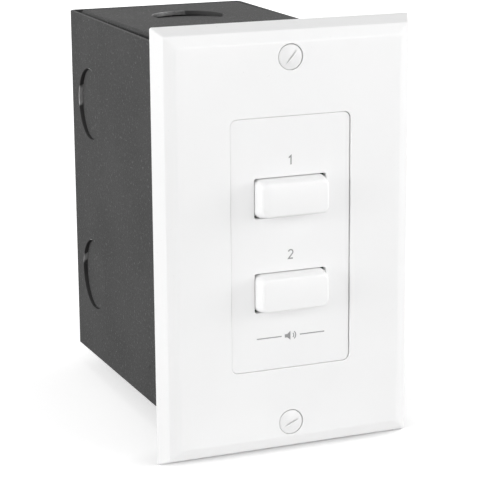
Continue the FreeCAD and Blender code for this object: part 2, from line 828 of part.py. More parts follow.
def makeSwitchBase(number, z):
    body = newBody(f"switch_{number}_base")
    width = switchWidth - (switchWall + closeFit) * 2
    height = switchHeight - (switchWall + closeFit) * 2
    pad(body, "XZ", baseFront, boardFront, [rect((0, 0), width, height)])
    spigot = springRadius - springWire - springPlay
    pad(body, "XZ", baseFront - basePlate / 2, boardFront, [circle((0, 0), spigot)])
    slots = []
    for place in bladePlaces():
        slots.append(rect(place, bladeWidth + pressGap * 2, bladeThickness + pressGap * 2))
    pocket(body, "XZ", baseFront - basePlate / 2, boardFront, slots)
    return moveTo(body, z=z)


def makeSwitchBlades(number, z):
    # Fixed contacts: straight blades whose tails pass through the base and the board.
    blades = []
    for x, across in bladePlaces():
        low = (x - bladeWidth / 2, bladeTip, across - bladeThickness / 2 + z)
        high = (x + bladeWidth / 2, boardBack + pinTail, across + bladeThickness / 2 + z)
        blades.append(block(f"switch_{number}_blade_{len(blades) + 1}", low, high))
    return group(f"switch_{number}_blades", blades)


def makeSwitchSlider(number, z):
    # The sliding core. Its stem carries the button, its +X side has the latch pin's track.
    body = newBody(f"switch_{number}_slider")
    halfWidth = sliderWidth / 2
    halfHeight = sliderHeight / 2
    pad(body, "XZ", sliderFront, sliderBack, [rect((0, 0), sliderWidth, sliderHeight)])
    pad(body, "XZ", stemTip, sliderBack, [rect((0, 0), stemSide, stemSide)])
    bore = circle((0, 0), springRadius + springPlay)
    pocket(body, "XZ", sliderBack - springSeat, sliderBack, [bore])
    seats = []
    for pole in (-0.5, 0.5):
        centre = (poleSpacing * pole, bridgeFront + bridgeLength / 2)
        width = bladeSpacing + bladeWidth + closeFit * 2
        seats.append(rect(centre, width, bridgeLength + closeFit * 2))
    pocket(body, "XY", halfHeight - bridgeSink, sliderHeight, seats)
    pocket(body, "XY", -sliderHeight, bridgeSink - halfHeight, seats)
    half = latchWire + trackPlay
    reach = latchArm * sine(latchSwing)
    far = latchTip - buttonTravel
    track = [
        (far - half * 1.3, -trackReturn),
        (latchTip + half, -trackReturn),
        (latchTip + half, reach + half),
        (far - half * 1.3, reach + half),
    ]
    pocket(body, "YZ", halfWidth - trackDepth, sliderWidth, [track])
    slope = reach / buttonTravel
    lift = half * 1.06
    heart = [
        (latchTip - trackLead, slope * trackLead - lift),
        (far + trackLead, slope * (buttonTravel - trackLead) - lift),
        (far + trackLead * 1.35, -trackReturn * 0.2),
        (far + trackLead, half * 2.1 - trackReturn),
        (latchTip - trackLead * 1.2, half * 2.1 - trackReturn),
    ]
    pad(body, "YZ", halfWidth - trackDepth, halfWidth, [heart])
    return moveTo(body, z=z)


def makeSwitchBridges(number, z):
    # Moving contacts: each joins a pole's two blades once the slider is pressed.
    bridges = []
    inner = sliderHeight / 2 - bridgeSink
    outer = inner + bridgeThickness
    halfLength = (bladeSpacing + bladeWidth) / 2
    for low, high in ((inner, outer), (-outer, -inner)):
        for pole in (-0.5, 0.5):
            x = poleSpacing * pole
            start = (x - halfLength, bridgeFront, low + z)
            end = (x + halfLength, bridgeFront + bridgeLength, high + z)
            bridges.append(block(f"switch_{number}_bridge_{len(bridges) + 1}", start, end))
    return group(f"switch_{number}_bridges", bridges)


def makeSwitchSpring(number, z):
    body = newBody(f"switch_{number}_spring")
    front = sliderBack - springSeat + closeFit
    back = baseFront - closeFit
    height = back - front - springWire
    sketch = newSketch(body, "XY", 0)
    drawCircle(sketch, (springRadius - springWire / 2, front + springWire / 2), springWire / 2)
    coil = body.newObject("PartDesign::AdditiveHelix", body.Label + "_coil")
    coil.Profile = sketch
    coil.ReferenceAxis = (sketch, ["V_Axis"])
    coil.Mode = "pitch-height-angle"
    bind(coil, "Pitch", height / springTurns)
    bind(coil, "Height", height)
    return moveTo(body, z=z)


def makeLatchPin(number, z):
    # Bent wire: one end turns in the housing's wall, the other rides in the slider's track.
    name = f"switch_{number}_latch_pin"
    armX = sliderWidth / 2 + latchGap
    tipX = sliderWidth / 2 - trackDepth + trackPlay
    pivotEnd = switchWidth / 2 - switchWall * 0.5
    pieces = [
        rod(name + "_tip", latchWire, (tipX, latchTip, z), armX - tipX, "X"),
        rod(name + "_arm", latchWire, (armX, latchTip, z), latchArm, "Y"),
        rod(name + "_pivot", latchWire, (armX, latchPivot, z), pivotEnd - armX, "X"),
        ball(name + "_bend_1", latchWire, (armX, latchTip, z)),
        ball(name + "_bend_2", latchWire, (armX, latchPivot, z)),
    ]
    return fuse(name, pieces)


def placeBlock(item, z, up):
    # Terminal blocks below the middle are turned over, so that their wires leave downwards.
    item.Placement = Placement(Vector(), Rotation(Vector(0, 1, 0), 0 if up > 0 else 180))
    return moveTo(item, z=z)


def makeTerminalHousing(name, z, up):
    body = newBody(f"{name}_housing")
    poles = polePlaces()
    pad(body, "XZ", boardBack, blockBack, [rect((0, 0), blockPitch * 4, blockHeight)])
    bevel = edgesAt(y=blockBack)
    roundEdges(body, blockWall / 2, bevel, kind="Chamfer")
    roomLow = blockWall - blockHeight / 2
    roomHigh = cageEnd + cagePlay
    roomHeight = roomHigh - roomLow
    roomWidth = cageWidth + cagePlay * 2
    rooms = [rect((x, roomLow + roomHeight / 2), roomWidth, roomHeight) for x, _ in poles]
    pocket(body, "XZ", cageFront - cagePlay, roomBack, rooms)
    shanks = [circle(place, terminalScrewRadius + wellPlay) for place in poles]
    pocket(body, "XZ", roomBack - cagePlay, blockBack, shanks)
    wells = [circle(place, terminalScrewHead + wellPlay) for place in poles]
    pocket(body, "XZ", headSeat, blockBack, wells)
    legs = [rect((x, -legPlace), legWidth + cagePlay, legThickness + cagePlay) for x, _ in poles]
    pocket(body, "XZ", boardBack, cageFront, legs)
    entryWidth = cageWidth - cageWall * 2
    entryY = cageFront + cageWall + wireEntryHeight / 2
    entries = [rect((x, entryY), entryWidth, wireEntryHeight) for x, _ in poles]
    pocket(body, "XY", cageEnd, blockHeight, entries)
    return placeBlock(body, z, up)


def makeTerminalCages(name, z, up):
    # Rising clamps: the screw draws each one up against its contact bar.
    master = newBody(f"{name}_cage")
    back = cageFront + cageDepth
    outline = rect((0, cageFront + cageDepth / 2), cageWidth, cageDepth)
    pad(master, "XY", cageEnd - cageLength, cageEnd, [outline])
    windowDepth = cageDepth - cageWall - cageRoof
    windowCentre = (0, cageFront + cageWall + windowDepth / 2)
    window = rect(windowCentre, cageWidth - cageWall * 2, windowDepth)
    pocket(master, "XY", -blockHeight, blockHeight, [window])
    thread = circle((0, cageMiddle), terminalScrewRadius + screwFit)
    pocket(master, "XZ", back - cageRoof * 1.5, back, [thread])
    copies = [copyOf(master, f"{name}_cage_{i}", x) for i, (x, _) in enumerate(polePlaces())]
    return placeBlock(group(f"{name}_cages", copies), z, up)


def makeTerminalScrews(name, z, up):
    length = headSeat - barBack - closeFit
    master = headedScrew(
        f"{name}_screw", terminalScrewHead, terminalScrewHeadHeight, terminalScrewRadius, length
    )
    copies = []
    for i, (x, across) in enumerate(polePlaces()):
        label = f"{name}_screw_{i}"
        copies.append(copyOf(master, label, x, headSeat, across, Vector(1, 0, 0), 180))
    return placeBlock(group(f"{name}_screws", copies), z, up)


def makeTerminalBars(name, z, up):
    # Contact bars: each runs through its cage and turns down into a leg soldered to the board.
    bars = []
    legLow = -legPlace - legThickness / 2
    for i, (x, _) in enumerate(polePlaces()):
        label = f"{name}_bar_{i}"
        barLow = (x - barWidth / 2, barBack - barThickness, legLow)
        barHigh = (x + barWidth / 2, barBack, cageEnd - cageWall)
        legStart = (x - legWidth / 2, boardFront - pinTail, legLow)
        legEnd = (x + legWidth / 2, barBack, legLow + legThickness)
        flat = block(label + "_flat", barLow, barHigh)
        leg = block(label + "_leg", legStart, legEnd)
        bars.append(fuse(label, [flat, leg]))
    return placeBlock(group(f"{name}_bars", bars), z, up)


def knockout(body, plane, face, inward, centre, toEdge):
    # A round slug, sheared inwards and held by one tab. Face is the sheet's outer level, inward the
    # sign of the way into the box, and toEdge the direction from the slug's centre to its tab.
    def between(near, far):
        levels = (face + near * inward, face + far * inward)
        return levels if inward > 0 else levels[::-1]

    u, v = centre
    du, dv = toEdge
    middle = knockoutRadius - knockoutGap * 0.5
    tabCentre = (u + middle * du, v + middle * dv)
    across = knockoutGap * 6
    width, height = (across, knockoutTab) if du else (knockoutTab, across)
    pocket(body, plane, *between(-boxSheet, boxSheet * 2), [circle(centre, knockoutRadius)])
    tab = rect(tabCentre, width, height)
    pad(body, plane, *between(knockoutSink * 0.5, boxSheet * 1.2), [tab])
    slug = circle(centre, knockoutRadius - knockoutGap)
    pad(body, plane, *between(knockoutSink, knockoutSink + boxSheet), [slug])


def makeBoxWrap():
    # One strip folded twice: the box's two sides and its back.
    body = newBody("box_wrap")
    halfHeight = boxHeight / 2 - sideDrop
    outline = rect((0, boxDepth / 2), boxWidth, boxDepth)
    pad(body, "XY", -halfHeight, halfHeight, [outline])
    roundEdges(body, boxBend, edgesAt(x=boxWidth / 2, y=boxDepth))
    innerDepth = boxDepth - boxSheet
    innerWidth = boxWidth - boxSheet * 2
    inside = rect((0, innerDepth / 2 - boxSheet), innerWidth, innerDepth + boxSheet * 2)
    pocket(body, "XY", -boxHeight, boxHeight, [inside])
    roundEdges(body, boxBend - boxSheet, edgesAt(x=boxWidth / 2 - boxSheet, y=innerDepth))
    for side in (-1, 1):
        for _, z in endsOf(sideKnockoutPitch):
            centre = (boxDepth - sideKnockoutFromBack, z)
            knockout(body, "YZ", boxWidth / 2 * side, -side, centre, (-1, 0))
    for place in endsOf(sideKnockoutPitch):
        knockout(body, "XZ", boxDepth, -1, place, (0, 1))
    holes = [circle((studHoleFromFront, z), studHoleRadius) for _, z in endsOf(studHolePitch)]
    pocket(body, "YZ", boxWidth / 2 - boxSheet * 2, boxWidth / 2 + boxSheet, holes)
    return body


def makeBoxCap(label, up):
    # The top or bottom panel: a tray with flanges inside the wrap, and an ear for a device screw.
    body = newBody(label)
    width = boxWidth - (boxSheet + flangeGap) * 2
    depth = boxDepth - boxSheet - flangeGap
    outer = boxHeight / 2

    def between(near, far):
        return (near, far) if up > 0 else (-far, -near)

    pad(body, "XY", *between(flangeEnd, outer), [rect((0, depth / 2), width, depth)])
    roundEdges(body, boxBend, edgesAt(x=width / 2, y=depth))
    roundEdges(body, boxBend, edgesAt(x=width / 2, z=outer), edgesAt(y=depth, z=outer))
    inside = rect((0, depth / 2 - boxSheet), width - boxSheet * 2, depth)
    pocket(body, "XY", *between(flangeEnd - boxSheet, outer - boxSheet), [inside])
    innerSide = edgesAt(x=width / 2 - boxSheet, z=outer - boxSheet)
    innerBack = edgesAt(y=depth - boxSheet, z=outer - boxSheet)
    roundEdges(body, boxBend - boxSheet, innerSide, innerBack)
    reliefs = [rect((width / 2 * side, depth), bendRelief * 2, bendRelief * 2) for side in (-1, 1)]
    pocket(body, "XY", *between(flangeEnd - boxSheet, outer - bendRelief), reliefs)
    earEnd = deviceScrewPitch / 2 - earPast
    ear = rect((0, (outer + earEnd) / 2 * up), earWidth, outer - earEnd)
    pad(body, "XZ", 0, boxSheet, [ear])
    thread = circle((0, deviceScrewPitch / 2 * up), screwShank + screwFit)
    pocket(body, "XZ", 0, boxSheet, [thread])
    centre = (0, boxDepth - capKnockoutFromBack)
    knockout(body, "XY", outer * up, -up, centre, (0, -1))
    return body


parts = [
    makeWallPlate(),
    makePlateScrews(),
    makeBezel(),
    makeBezelScrews(),
    makeStrap(),
    makeDeviceScrews(),
    makeStandoffs(),
    makeBoardScrews(),
    makeBoard(),
]
for number, (_, z) in enumerate(endsOf(buttonPitch), start=1):
    for make in (
        makeButton,
        makeSwitchHousing,
        makeSwitchBase,
        makeSwitchBlades,
        makeSwitchSlider,
        makeSwitchBridges,
        makeSwitchSpring,
        makeLatchPin,
    ):
        parts.append(make(number, z))
for name, z, up in terminalBlocks:
    for make in (makeTerminalHousing, makeTerminalCages, makeTerminalScrews, makeTerminalBars):
        parts.append(make(name, z, up))
parts.append(makeBoxWrap())
parts.append(makeBoxCap("box_top", 1))
parts.append(makeBoxCap("box_bottom", -1))

doc.recompute()
for item in doc.Objects:
    if "Invalid" in item.State or "Error" in item.State:
        raise ValueError(f"{item.Label} failed: {item.getStatusString()}")
os.makedirs("parts", exist_ok=True)
for part in parts:
    if part.Shape.isNull() or not part.Shape.isValid():
        raise ValueError(f"{part.Label} has no valid shape")
    part.Shape.exportStep(f"parts/{part.Label}.step")
    print(f"{part.Label}: {len(part.Shape.Solids)} solids, {part.Shape.Volume:.1f} mm3")
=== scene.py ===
import json
import math

import bmesh
import bpy
from mathutils import Matrix, Vector


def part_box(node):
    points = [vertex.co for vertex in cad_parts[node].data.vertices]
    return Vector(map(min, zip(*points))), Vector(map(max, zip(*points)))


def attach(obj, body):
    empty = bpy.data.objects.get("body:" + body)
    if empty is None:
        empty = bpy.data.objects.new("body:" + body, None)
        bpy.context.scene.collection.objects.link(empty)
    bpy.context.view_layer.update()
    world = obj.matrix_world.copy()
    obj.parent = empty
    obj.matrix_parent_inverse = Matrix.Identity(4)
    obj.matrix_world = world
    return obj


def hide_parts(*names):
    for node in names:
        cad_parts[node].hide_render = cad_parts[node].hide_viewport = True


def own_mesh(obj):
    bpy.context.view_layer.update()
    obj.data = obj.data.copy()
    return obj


# Speaker selector switch: white wall plate with two push buttons on a dark steel back box.
# Lengths in the dictionaries are millimetres, and mm turns them into Blender's metres. In studioSet
# only floorLevel is in millimetres, and every other length is in metres.
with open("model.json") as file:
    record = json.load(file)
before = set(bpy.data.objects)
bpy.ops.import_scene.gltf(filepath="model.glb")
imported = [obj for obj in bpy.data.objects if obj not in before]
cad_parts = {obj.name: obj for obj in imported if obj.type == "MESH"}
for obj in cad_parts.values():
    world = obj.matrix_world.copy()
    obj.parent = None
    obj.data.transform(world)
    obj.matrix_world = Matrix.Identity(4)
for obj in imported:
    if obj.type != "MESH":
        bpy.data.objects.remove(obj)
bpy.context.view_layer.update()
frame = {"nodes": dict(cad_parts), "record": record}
nodes = frame["nodes"]
mm = 0.001
print("frame loaded:", len(nodes), "nodes")

cameraSet = {
    "place": (-190.79, -439.03, 117.78),
    "yaw": -22.163,  # degrees, as are pitch and roll
    "pitch": -13.849,
    "roll": 0.445,
    "lens": 142.0,
}
studioSet = {
    "ambient": 0.3,
    "floorLevel": -57.15,
    "floorHalf": 6,
    "floorTone": 0.85,
    "shownTone": 1.0,
    "frontSpot": (0, -0.08, 0),
    "frontReach": (0.078, 0.098),
    "floorLift": (0.26, 0.5, 1.0),
    "liftReach": (0.45, 1.6),
    "lamps": [
        # name, place, aim, size and power
        ("lowFrontLamp", (1.0, -2.4, 0.1), (0, 0, 0), 0.5, 10.3),
        ("highRightLamp", (1.5, -1.9, 1.5), (0, 0, 0), 1.2, 5.5),
        ("rightLamp", (1.9, -1.9, 0.35), (0, 0, 0), 1.2, 8.5),
        ("leftLamp", (-2.4, -0.5, 0.4), (0, 0, 0), 1.2, 31),
        ("lowRightLamp", (2.4, -0.6, 0.5), (0, 0, 0), 1.2, 31),
        ("highLeftLamp", (-1.5, -1.7, 1.4), (0, 0, 0), 1.2, 9),
        ("topLamp", (0, -0.4, 2.5), (0, 0, 0), 1.2, 5),
        ("rearLeftLamp", (-2.3, 1.5, 0.6), (0, 0, 0), 1.2, 15),
        ("rearRightLamp", (2.5, 1.2, 0.6), (0, 0, 0), 1.2, 10),
    ],
}


def addNode(tree, kind, settings=None, **fed):
    # Sockets are fed by name, or as i0, i1 by number, from a value or from another socket.
    node = tree.nodes.new(kind)
    for key, value in (settings or {}).items():
        setattr(node, key, value)
    for key, value in fed.items():
        socket = node.inputs[int(key[1:]) if key[1:].isdigit() else key]
        if isinstance(value, bpy.types.NodeSocket):
            tree.links.new(value, socket)
        else:
            socket.default_value = value
    return node


def makeCamera():
    yaw, pitch, roll = (math.radians(cameraSet[key]) for key in ("yaw", "pitch", "roll"))
    turn = Matrix.Rotation(yaw, 3, "Z") @ Matrix.Rotation(pitch, 3, "X")
    turn = turn @ Matrix.Rotation(roll, 3, "Y") @ Matrix.Rotation(math.pi / 2, 3, "X")
    data = bpy.data.cameras.new("benchCamera")
    data.sensor_width = 36
    data.lens = cameraSet["lens"]
    camera = bpy.data.objects.new("benchCamera", data)
    bpy.context.scene.collection.objects.link(camera)
    camera.matrix_world = Matrix.Translation(Vector(cameraSet["place"]) * mm) @ turn.to_4x4()
    bpy.context.scene.camera = camera
    bpy.context.scene.view_settings.view_transform = "Standard"


def makeLamps():
    for name, place, aim, size, power in studioSet["lamps"]:
        data = bpy.data.lights.new(name, "AREA")
        data.size = size
        data.energy = power
        lamp = bpy.data.objects.new(name, data)
        bpy.context.scene.collection.objects.link(lamp)
        lamp.location = place
        lamp.rotation_euler = (Vector(aim) - Vector(place)).to_track_quat("-Z", "Y").to_euler()


def makeWorld():
    # Even light all round, and plain white where the camera or a reflection looks past the part.
    world = bpy.data.worlds.new("studio")
    bpy.context.scene.world = world
    world.use_nodes = True
    tree = world.node_tree
    tree.nodes.clear()
    path = addNode(tree, "ShaderNodeLightPath").outputs
    seen = path["Is Camera Ray"]
    for ray in ("Is Glossy Ray", "Is Transmission Ray"):
        seen = addNode(tree, "ShaderNodeMath", {"operation": "MAXIMUM"}, i0=seen, i1=path[ray])
        seen = seen.outputs[0]
    plain = addNode(tree, "ShaderNodeBackground", Strength=studioSet["ambient"])
    white = addNode(tree, "ShaderNodeBackground", Strength=1.0)
    for background in (plain, white):
        background.inputs["Color"].default_value = (1, 1, 1, 1)
    mixed = addNode(
        tree, "ShaderNodeMixShader", i0=seen, i1=plain.outputs[0], i2=white.outputs[0]
    )
    addNode(tree, "ShaderNodeOutputWorld", Surface=mixed.outputs[0])


def makeFloor():
    # White paper that keeps the shadow: a matt sheet, lifted for the camera only. The lift is
    # least in front of the plate, where the lamps are strong, and most where they fade.
    shape = bmesh.new()
    bmesh.ops.create_grid(shape, x_segments=8, y_segments=8, size=studioSet["floorHalf"])
    mesh = bpy.data.meshes.new("floor")
    shape.to_mesh(mesh)
    shape.free()
    floor = bpy.data.objects.new("floor", mesh)
    floor.location.z = studioSet["floorLevel"] * mm
    bpy.context.scene.collection.objects.link(floor)
    material = bpy.data.materials.new("floorPaper")
    material.use_nodes = True
    tree = material.node_tree
    tree.nodes.clear()
    seen = addNode(tree, "ShaderNodeLightPath").outputs["Is Camera Ray"]
    tone = addNode(
        tree, "ShaderNodeMapRange", i0=seen, i3=studioSet["floorTone"], i4=studioSet["shownTone"]
    )
    paper = addNode(tree, "ShaderNodeBsdfDiffuse", Color=tone.outputs["Result"])
    place = addNode(tree, "ShaderNodeTexCoord").outputs["Object"]
    front, side, rest = studioSet["floorLift"]
    raised = front
    for spot, (near, far), high in (
        (studioSet["frontSpot"], studioSet["frontReach"], side),
        ((0, 0, 0), studioSet["liftReach"], rest),
    ):
        away = addNode(tree, "ShaderNodeVectorMath", {"operation": "DISTANCE"}, i0=place, i1=spot)
        raised = addNode(
            tree, "ShaderNodeMapRange", {"clamp": True},
            i0=away.outputs["Value"], i1=near, i2=far, i3=raised, i4=high,
        ).outputs["Result"]
    lift = addNode(tree, "ShaderNodeMath", {"operation": "MULTIPLY"}, i0=seen, i1=raised)
    glow = addNode(tree, "ShaderNodeEmission", Strength=lift.outputs[0])
    both = addNode(tree, "ShaderNodeAddShader", i0=paper.outputs[0], i1=glow.outputs[0])
    addNode(tree, "ShaderNodeOutputMaterial", Surface=both.outputs[0])
    mesh.materials.append(material)


makeCamera()
makeLamps()
makeWorld()
makeFloor()
print("studio ready")


def newGroup(name, inputs, outputs):
    group = bpy.data.node_groups.new(name, "ShaderNodeTree")
    for label, kind, value in inputs:
        socket = group.interface.new_socket(label, in_out="INPUT", socket_type=kind)
        socket.default_value = value
    for label in outputs:
        group.interface.new_socket(label, in_out="OUTPUT", socket_type="NodeSocketFloat")
    given = group.nodes.new("NodeGroupInput").outputs
    return group, given, group.nodes.new("NodeGroupOutput").inputs


def noiseOf(tree, vector, scale, detail=3.0, roughness=0.5):
    return addNode(
        tree, "ShaderNodeTexNoise", Vector=vector, Scale=scale, Detail=detail, Roughness=roughness
    ).outputs["Fac"]


def mathOf(tree, operation, first, second, clamp=False):
    settings = {"operation": operation, "use_clamp": clamp}
    return addNode(tree, "ShaderNodeMath", settings, i0=first, i1=second).outputs[0]


def rangeOf(tree, value, low, high, toLow=0.0, toHigh=1.0):
    return addNode(
        tree, "ShaderNodeMapRange", {"clamp": True}, i0=value, i1=low, i2=high, i3=toLow, i4=toHigh
    ).outputs["Result"]


def mouldedSkinGroup():
    # Moulded plastic: faint orange peel, a finer grain and a slow drift in tone.
    group, given, out = newGroup(
        "mouldedSkin",
        [("Peel Scale", "NodeSocketFloat", 900), ("Grain", "NodeSocketFloat", 0.3)],
        ["Height", "Tone"],
    )
    place = addNode(group, "ShaderNodeTexCoord").outputs["Object"]
    peel = noiseOf(group, place, given["Peel Scale"], 2.0)
    grain = mathOf(group, "MULTIPLY", noiseOf(group, place, 5200.0, 2.0), given["Grain"])
    group.links.new(mathOf(group, "ADD", peel, grain), out["Height"])
    group.links.new(noiseOf(group, place, 28.0), out["Tone"])
    return group


def texturedPaintGroup():
    # Sprayed fine-texture paint: pebbled height, pale flecks and a broad uneven tone.
    group, given, out = newGroup(
        "texturedPaint",
        [
            ("Pebble Scale", "NodeSocketFloat", 2600),
            ("Fleck Scale", "NodeSocketFloat", 1150),
            ("Fleck Level", "NodeSocketFloat", 0.57),
        ],
        ["Height", "Fleck", "Tone"],
    )
    place = addNode(group, "ShaderNodeTexCoord").outputs["Object"]
    pebble = noiseOf(group, place, given["Pebble Scale"], 4.0, 0.6)
    fleck = noiseOf(group, place, given["Fleck Scale"], 5.0, 0.75)
    over = mathOf(group, "SUBTRACT", fleck, given["Fleck Level"])
    group.links.new(pebble, out["Height"])
    group.links.new(mathOf(group, "MULTIPLY", over, 9.0, clamp=True), out["Fleck"])
    group.links.new(noiseOf(group, place, 45.0, 4.0), out["Tone"])
    return group


def drawnMetalGroup():
    # Rolled or plated metal: streaks along the least stretched axis and a cloudy tarnish.
    group, given, out = newGroup(
        "drawnMetal",
        [("Stretch", "NodeSocketVector", (40, 900, 900)), ("Cloud Scale", "NodeSocketFloat", 260)],
        ["Streak", "Cloud"],
    )
    place = addNode(group, "ShaderNodeTexCoord").outputs["Object"]
    drawn = addNode(
        group, "ShaderNodeVectorMath", {"operation": "MULTIPLY"}, i0=place, i1=given["Stretch"]
    )
    group.links.new(noiseOf(group, drawn.outputs[0], 1.0, 5.0, 0.7), out["Streak"])
    group.links.new(noiseOf(group, place, given["Cloud Scale"], 4.0), out["Cloud"])
    return group


def settledDustGroup():
    # Light dust on what faces up, broken by noise.
    group, given, out = newGroup("settledDust", [("Amount", "NodeSocketFloat", 0.2)], ["Mask"])
    normal = addNode(group, "ShaderNodeNewGeometry").outputs["Normal"]
    up = rangeOf(group, addNode(group, "ShaderNodeSeparateXYZ", i0=normal).outputs[2], 0.3, 0.95)
    place = addNode(group, "ShaderNodeTexCoord").outputs["Object"]
    broken = rangeOf(group, noiseOf(group, place, 150.0, 6.0, 0.7), 0.35, 0.75)
    mask = mathOf(group, "MULTIPLY", mathOf(group, "MULTIPLY", up, broken), given["Amount"])
    group.links.new(mask, out["Mask"])
    return group


groups = {
    "mouldedSkin": mouldedSkinGroup(),
    "texturedPaint": texturedPaintGroup(),
    "drawnMetal": drawnMetalGroup(),
    "settledDust": settledDustGroup(),
}


def placeGroup(tree, name, values=None):
    node = addNode(tree, "ShaderNodeGroup", {"node_tree": groups[name]})
    for key, value in (values or {}).items():
        node.inputs[key].default_value = value
    return node.outputs


def newMaterial(name):
    material = bpy.data.materials.new(name)
    material.use_nodes = True
    tree = material.node_tree
    tree.nodes.clear()
    shader = tree.nodes.new("ShaderNodeBsdfPrincipled")
    addNode(tree, "ShaderNodeOutputMaterial", Surface=shader.outputs[0])
    return material, tree, shader


def blend(tree, factor, first, second):
    node = addNode(tree, "ShaderNodeMix", {"data_type": "RGBA"}, i0=factor)
    for socket, value in ((node.inputs[6], first), (node.inputs[7], second)):
        if isinstance(value, bpy.types.NodeSocket):
            tree.links.new(value, socket)
        else:
            socket.default_value = (*value, 1)
    return node.outputs[2]


def emboss(tree, shader, height, strength, distance):
    bump = addNode(tree, "ShaderNodeBump", Strength=strength, Distance=distance, Height=height)
    tree.links.new(bump.outputs["Normal"], shader.inputs["Normal"])


def plasticMaterial(name, pale, dark, roughness, peelScale=900.0, relief=0.00001, dust=0.0):
    material, tree, shader = newMaterial(name)
    skin = placeGroup(tree, "mouldedSkin", {"Peel Scale": peelScale})
    colour = blend(tree, rangeOf(tree, skin["Tone"], 0.35, 0.65), dark, pale)
    if dust:
        settled = placeGroup(tree, "settledDust", {"Amount": dust})["Mask"]
        colour = blend(tree, settled, colour, (0.5, 0.48, 0.45))
    tree.links.new(colour, shader.inputs["Base Color"])
    rough = rangeOf(tree, skin["Height"], 0.3, 1.0, roughness * 0.88, roughness * 1.12)
    tree.links.new(rough, shader.inputs["Roughness"])
    emboss(tree, shader, skin["Height"], 0.25, relief)
    return material


paintSet = {
    "dark": 0.0455,
    "pale": 0.0545,
    "fleck": 0.2,
    "fleckShare": 0.7,
    "dust": (0.4, 0.39, 0.37),
    "dustAmount": 0.025,
    "roughness": (0.6, 0.8),
    "specular": 0.22,
    "bump": 0.8,
    "relief": 0.00012,
}


def paintMaterial(name):
    # The box paint, from the textured paint's tone and flecks and a little dust.
    material, tree, shader = newMaterial(name)
    paint = placeGroup(tree, "texturedPaint")
    dark, pale, fleck = ((paintSet[key],) * 3 for key in ("dark", "pale", "fleck"))
    colour = blend(tree, rangeOf(tree, paint["Tone"], 0.35, 0.65), dark, pale)
    flecked = mathOf(tree, "MULTIPLY", paint["Fleck"], paintSet["fleckShare"])
    colour = blend(tree, flecked, colour, fleck)
    settled = placeGroup(tree, "settledDust", {"Amount": paintSet["dustAmount"]})["Mask"]
    colour = blend(tree, settled, colour, paintSet["dust"])
    tree.links.new(colour, shader.inputs["Base Color"])
    rough = rangeOf(tree, paint["Height"], 0.3, 0.7, *paintSet["roughness"])
    tree.links.new(rough, shader.inputs["Roughness"])
    shader.inputs["Specular IOR Level"].default_value = paintSet["specular"]
    emboss(tree, shader, paint["Height"], paintSet["bump"], paintSet["relief"])
    return material


def edgeShadeMaterial(name, cloud, bareFrom=0.53, dull=0.3, bright=0.66):
    # A sheared edge in painted shade: a near-black coat that stands in for the shade in slits and
    # seams, broken by bare steel in patches set by the cloud scale.
    material, tree, shader = newMaterial(name)
    metal = placeGroup(tree, "drawnMetal", {"Stretch": (700, 700, 700), "Cloud Scale": cloud})
    paint = placeGroup(tree, "texturedPaint")
    bare = rangeOf(tree, metal["Cloud"], bareFrom, bareFrom + 0.04)
    steel = blend(tree, metal["Streak"], (dull,) * 3, (bright,) * 3)
    # The near-black coat, much darker than the box paint, is painted shade.
    colour = blend(tree, bare, blend(tree, paint["Tone"], (0.008,) * 3, (0.02,) * 3), steel)
    tree.links.new(colour, shader.inputs["Base Color"])
    tree.links.new(mathOf(tree, "MULTIPLY", bare, 0.85), shader.inputs["Metallic"])
    tree.links.new(rangeOf(tree, bare, 0.0, 1.0, 0.62, 0.42), shader.inputs["Roughness"])
    emboss(tree, shader, metal["Streak"], 0.4, 0.00006)
    return material


def metalMaterial(name, pale, dark, roughness):
    material, tree, shader = newMaterial(name)
    metal = placeGroup(tree, "drawnMetal")
    colour = blend(tree, rangeOf(tree, metal["Cloud"], 0.35, 0.7), pale, dark)
    tree.links.new(colour, shader.inputs["Base Color"])
    rough = rangeOf(tree, metal["Streak"], 0.3, 0.7, roughness * 0.75, roughness * 1.3)
    tree.links.new(rough, shader.inputs["Roughness"])
    shader.inputs["Metallic"].default_value = 1
    emboss(tree, shader, metal["Streak"], 0.2, 0.00002)
    return material


